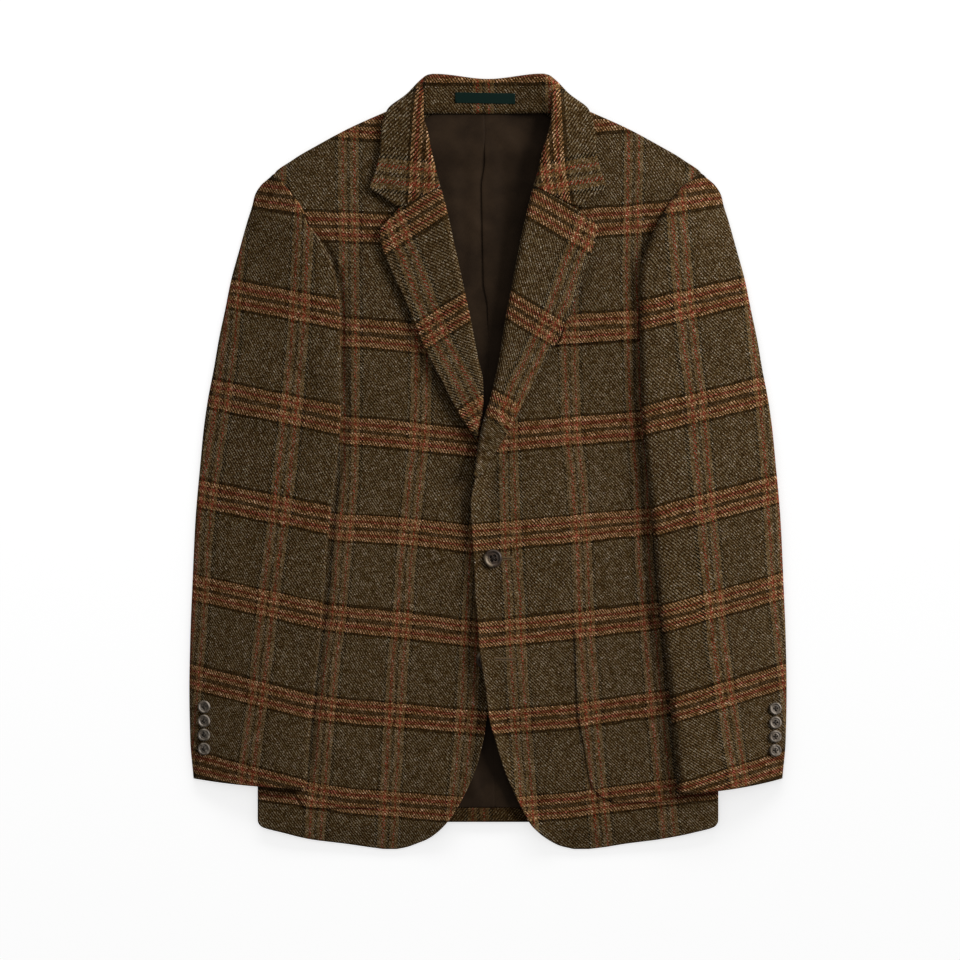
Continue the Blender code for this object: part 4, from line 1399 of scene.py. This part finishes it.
# Rings of corners, close together over the holes, and how much of the button bears on the cloth
BUTTON_RINGS = np.r_[np.arange(0.04, 0.53, 0.04), np.linspace(0.56, 1, 12)]
BUTTON_BEARING = 0.6
HORN_GRAIN = {"Scale": 260, "Detail": 4, "Distortion": 1.2}
HORN_TURN = math.radians(-32)
PALE_FROM = 0.72


def horn(name, dark, light, streak, scale, phase=0.0):
    """Mottled horn, with a pale streak running through it at a slant."""
    material, tree, shader = finish(name)
    place = add(tree, "TexCoord").outputs["Object"]
    grain = add(tree, "TexNoise", {"Vector": place, **HORN_GRAIN})
    turned = add(tree, "Mapping", {"Vector": place, "Rotation": (0, 0, HORN_TURN)})
    growth = add(
        tree,
        "TexWave",
        {"Vector": turned.outputs[0], "Scale": scale, "Distortion": 1.0, "Detail Scale": 60,
         "Phase Offset": phase},
        wave_type="BANDS",
        bands_direction="X",
    )
    pale = add(tree, "MapRange", {"Value": growth.outputs["Fac"], "From Min": PALE_FROM},
               interpolation_type="SMOOTHSTEP")
    mottled = two_tone(tree, grain.outputs["Fac"], dark, light, 0.35, 0.7)
    streaked = add(tree, "Mix", {0: pale.outputs["Result"], 6: mottled, 7: (*streak, 1)}, data_type="RGBA")
    feed(tree, shader, {
        "Base Color": streaked.outputs[2], "Roughness": 0.45, "Specular IOR Level": 0.25,
    })
    return material


def thread_finish(name, colour):
    material, tree, shader = finish(name)
    feed(tree, shader, {"Base Color": (*colour, 1), "Roughness": 0.8, "Specular IOR Level": 0.1})
    return material


front_horn = horn(
    "dark_horn", (0.010, 0.0058, 0.0035), (0.036, 0.021, 0.012), (0.125, 0.094, 0.060), 16, FRONT_STREAK_AND_HIGHLIGHT
)
cuff_horn = horn("brown_horn", (0.034, 0.026, 0.019), (0.105, 0.083, 0.062), (0.15, 0.125, 0.1), 34)
brown_thread = thread_finish("brown_thread", (0.0075, 0.0052, 0.0036))


def sewn_button(name, size, x, y, rest, material):
    """A button lying along the surface given by rest, with a cross of thread over its holes."""
    around = np.arange(BUTTON_MARKS) * math.tau / BUTTON_MARKS
    heights = np.interp(BUTTON_RINGS, *zip(*BUTTON_FACE))
    verts, threaded = [(0, 0, BUTTON_FACE[0][1] + THREAD_RISE)], [True]
    hole_at = HOLE_PLACE * DIAGONAL
    for share, height in zip(BUTTON_RINGS, heights):
        for angle in around:
            a, b = share * math.cos(angle), share * math.sin(angle)
            pit = HOLE_DEPTH * float(1 - ease(*HOLE_WIDTH, math.hypot(abs(a) - hole_at, abs(b) - hole_at)))
            stitch = float(1 - ease(*THREAD_WIDTH, abs(abs(a) - abs(b)) * DIAGONAL))
            stitch *= share < HOLE_PLACE + 0.02
            verts.append((a, b, height - pit * (1 - stitch) + THREAD_RISE * stitch))
            threaded.append(stitch > 0.5)
    for share, height in BUTTON_FOOT:
        verts += [(share * math.cos(angle), share * math.sin(angle), height) for angle in around]
        threaded += [False] * BUTTON_MARKS
    verts.append((0, 0, 0))
    threaded.append(False)
    rings = len(BUTTON_RINGS) + len(BUTTON_FOOT)
    ahead = [(k, (k + 1) % BUTTON_MARKS) for k in range(BUTTON_MARKS)]
    faces = [(0, 1 + k, 1 + n) for k, n in ahead]
    for ring in range(rings - 1):
        near, far = 1 + ring * BUTTON_MARKS, 1 + (ring + 1) * BUTTON_MARKS
        faces += [(near + k, far + k, far + n, near + n) for k, n in ahead]
    last = 1 + (rings - 1) * BUTTON_MARKS
    faces += [(last + k, len(verts) - 1, last + n) for k, n in ahead]
    step = BUTTON_BEARING * size["radius"]
    slope_x = (rest(x + step, y) - rest(x - step, y)) / (2 * step)
    slope_y = (rest(x, y + step) - rest(x, y - step)) / (2 * step)
    tilt = Vector((0, 0, 1)).rotation_difference(Vector((-slope_x, -slope_y, 1)).normalized())
    turn = math.radians(size["turn"])
    middle = Vector((x, y, float(rest(x, y)) + BUTTON_SHANK))
    corners = []
    for a, b, c in verts:
        level = Vector((a * math.cos(turn) - b * math.sin(turn), a * math.sin(turn) + b * math.cos(turn), 0))
        corners.append((middle + tilt @ (level * size["radius"] + Vector((0, 0, c * size["height"])))) * MM)
    mesh = bpy.data.meshes.new(name + "_horn")
    mesh.from_pydata(corners, [], faces)
    mesh.materials.append(material)
    mesh.materials.append(brown_thread)
    for face in mesh.polygons:
        face.material_index = int(all(threaded[v] for v in face.vertices))
    mesh.shade_smooth()
    piece = put(name + "_horn", mesh)
    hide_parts(name)
    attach(piece, "root")


sewn_button(
    "front_button", FRONT_BUTTON, *FRONT_BUTTON_AT, lambda x, y: on_front(LEFT, x, y) - LAY, front_horn
)
sewn_button(
    "lower_button", FRONT_BUTTON, *LOWER_BUTTON_AT, lambda x, y: on_front(RIGHT, x, y) - LAY, front_horn
)
for side, (x, first, pitch) in CUFF_BUTTONS_AT.items():
    for count in range(4):
        sewn_button(
            f"cuff_button_{SIDES[side]}_{count + 1}",
            CUFF_BUTTON,
            x,
            first - count * pitch,
            partial(top_sleeve_surface, side),
            cuff_horn,
        )

# ----------------------------------------
# BUTTONHOLES. Two slits in the lapped front, each worked round with brown silk twist and ending
# in an eyelet towards the edge. The upper one's eyelet lies under the button.

BUTTONHOLE_LENGTH = 23
BUTTONHOLES = {"buttonhole_upper": (3.4, -101.6), "buttonhole_lower": (6.6, -207.4)}
# Across the hole from one edge of the stitches to the other: place and height
BUTTONHOLE_EDGE = ((-1.9, -0.3), (-1.5, 0.1), (-1, 0.34), (-0.5, 0.2))
BUTTONHOLE_SECTION = BUTTONHOLE_EDGE + ((0, -0.15),) + tuple((-a, b) for a, b in BUTTONHOLE_EDGE[::-1])
BUTTONHOLE_STEPS = 47
EYELET = 1.8
EYELET_WIDER = 0.55
SLIT_EYE = 0.9
STITCH_WAVE = 0.06
STITCH_TURN = 2.3
# How squarely the ends are cut
HOLE_END = 14
twist = thread_finish("silk_twist", (0.072, 0.046, 0.022))
# The middle of each slit gets a near-black finish: painted shadow in the opening
slit_shadow_finish = thread_finish("slit_painted_shadow", (0.008, 0.0055, 0.0035))

for name, (x, y) in BUTTONHOLES.items():
    steps = np.linspace(0, 1, BUTTONHOLE_STEPS)
    verts, faces, dark = [], [], []
    for k, share in enumerate(steps):
        along = share * BUTTONHOLE_LENGTH
        wide = 1 + EYELET_WIDER * math.exp(-(((along - EYELET) / EYELET) ** 2))
        wide *= math.sqrt(max(1 - (2 * share - 1) ** HOLE_END, 0.02))
        for offset, height in BUTTONHOLE_SECTION:
            at_x, at_y = x + along, y + offset * wide + STITCH_WAVE * math.sin(k * STITCH_TURN)
            level = on_front(LEFT, at_x, at_y) - LAY + creased(at_x, at_y, FRONT_CREASES[LEFT])
            verts.append((at_x * MM, at_y * MM, float(level + height) * MM))
    across = len(BUTTONHOLE_SECTION)
    for k in range(len(steps) - 1):
        near_eye = abs(steps[k] * BUTTONHOLE_LENGTH - EYELET) < SLIT_EYE
        for j in range(across - 1):
            a = k * across + j
            faces.append((a, a + across, a + across + 1, a + 1))
            # These middle faces take the painted shadow
            dark.append(j in (3, 4) and (near_eye or 2 < k < len(steps) - 4))
    mesh = bpy.data.meshes.new(name)
    mesh.from_pydata(verts, [], faces)
    mesh.materials.append(twist)
    mesh.materials.append(slit_shadow_finish)
    for face, in_slit_shadow in zip(mesh.polygons, dark):
        face.material_index = int(in_slit_shadow)
    mesh.shade_smooth()
    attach(put(name, mesh), "root")

# ----------------------------------------
# FLOOR, LIGHT AND CAMERA. A plain white surface, a wide soft lamp above and a little to the
# right, even light from all round, and a long lens straight above.

FLOOR_HALF = 6
FLOOR_BELOW = 0.0002
floor_mesh = bpy.data.meshes.new("floor")
corners = [(a * FLOOR_HALF, b * FLOOR_HALF, 0) for a, b in ((-1, -1), (1, -1), (1, 1), (-1, 1))]
floor_mesh.from_pydata(corners, [], [(0, 1, 2, 3)])
floor = put("floor", floor_mesh)
floor.location.z = -FLOOR_BELOW
floor_finish, tree, shader = finish("white_floor")
feed(tree, shader, {
    "Base Color": (0.8, 0.8, 0.8, 1), "Roughness": 0.9, "Specular IOR Level": 0,
    "Emission Color": (1, 1, 1, 1), "Emission Strength": 0.588,
})
floor_mesh.materials.append(floor_finish)

world = bpy.data.worlds.new("studio")
bpy.context.scene.world = world
world.use_nodes = True
feed(world.node_tree, world.node_tree.nodes["Background"], {0: (1, 1, 1, 1), 1: 0.4})


def lamp(name, place, width, height, power):
    """A soft lamp aimed at the middle of the jacket."""
    data = bpy.data.lights.new(name, "AREA")
    data.shape = "RECTANGLE"
    data.size, data.size_y = width, height
    data.energy = power
    made = put(name, data)
    made.location = place
    made.rotation_euler = (-Vector(place)).to_track_quat("-Z", "Y").to_euler()
    return made


key_lamp = lamp("key_lamp", (2.7, 1.3, 1.5), 1.25, 1.25, 224)
lamp("top_lamp", (0, 2.2, 0.75), 2.6, 0.5, 27)
# The table stays evenly white: the key lamp is kept off it
unlit = bpy.data.collections.new("kept_off_the_key_lamp")
unlit.objects.link(floor)
key_lamp.light_linking.receiver_collection = unlit
unlit.collection_objects[0].light_linking.link_state = "EXCLUDE"

VIEW_WIDTH = 1.008
LENS = 200
SENSOR = 36
camera_data = bpy.data.cameras.new("camera")
camera_data.type = "PERSP"
camera_data.sensor_width = SENSOR
camera_data.lens = LENS
camera_data.clip_end = 50
camera = put("camera", camera_data)
camera.location = (-0.0084, -0.0194, VIEW_WIDTH * LENS / SENSOR + 0.008)
bpy.context.scene.camera = camera
bpy.context.scene.view_settings.view_transform = "Standard"
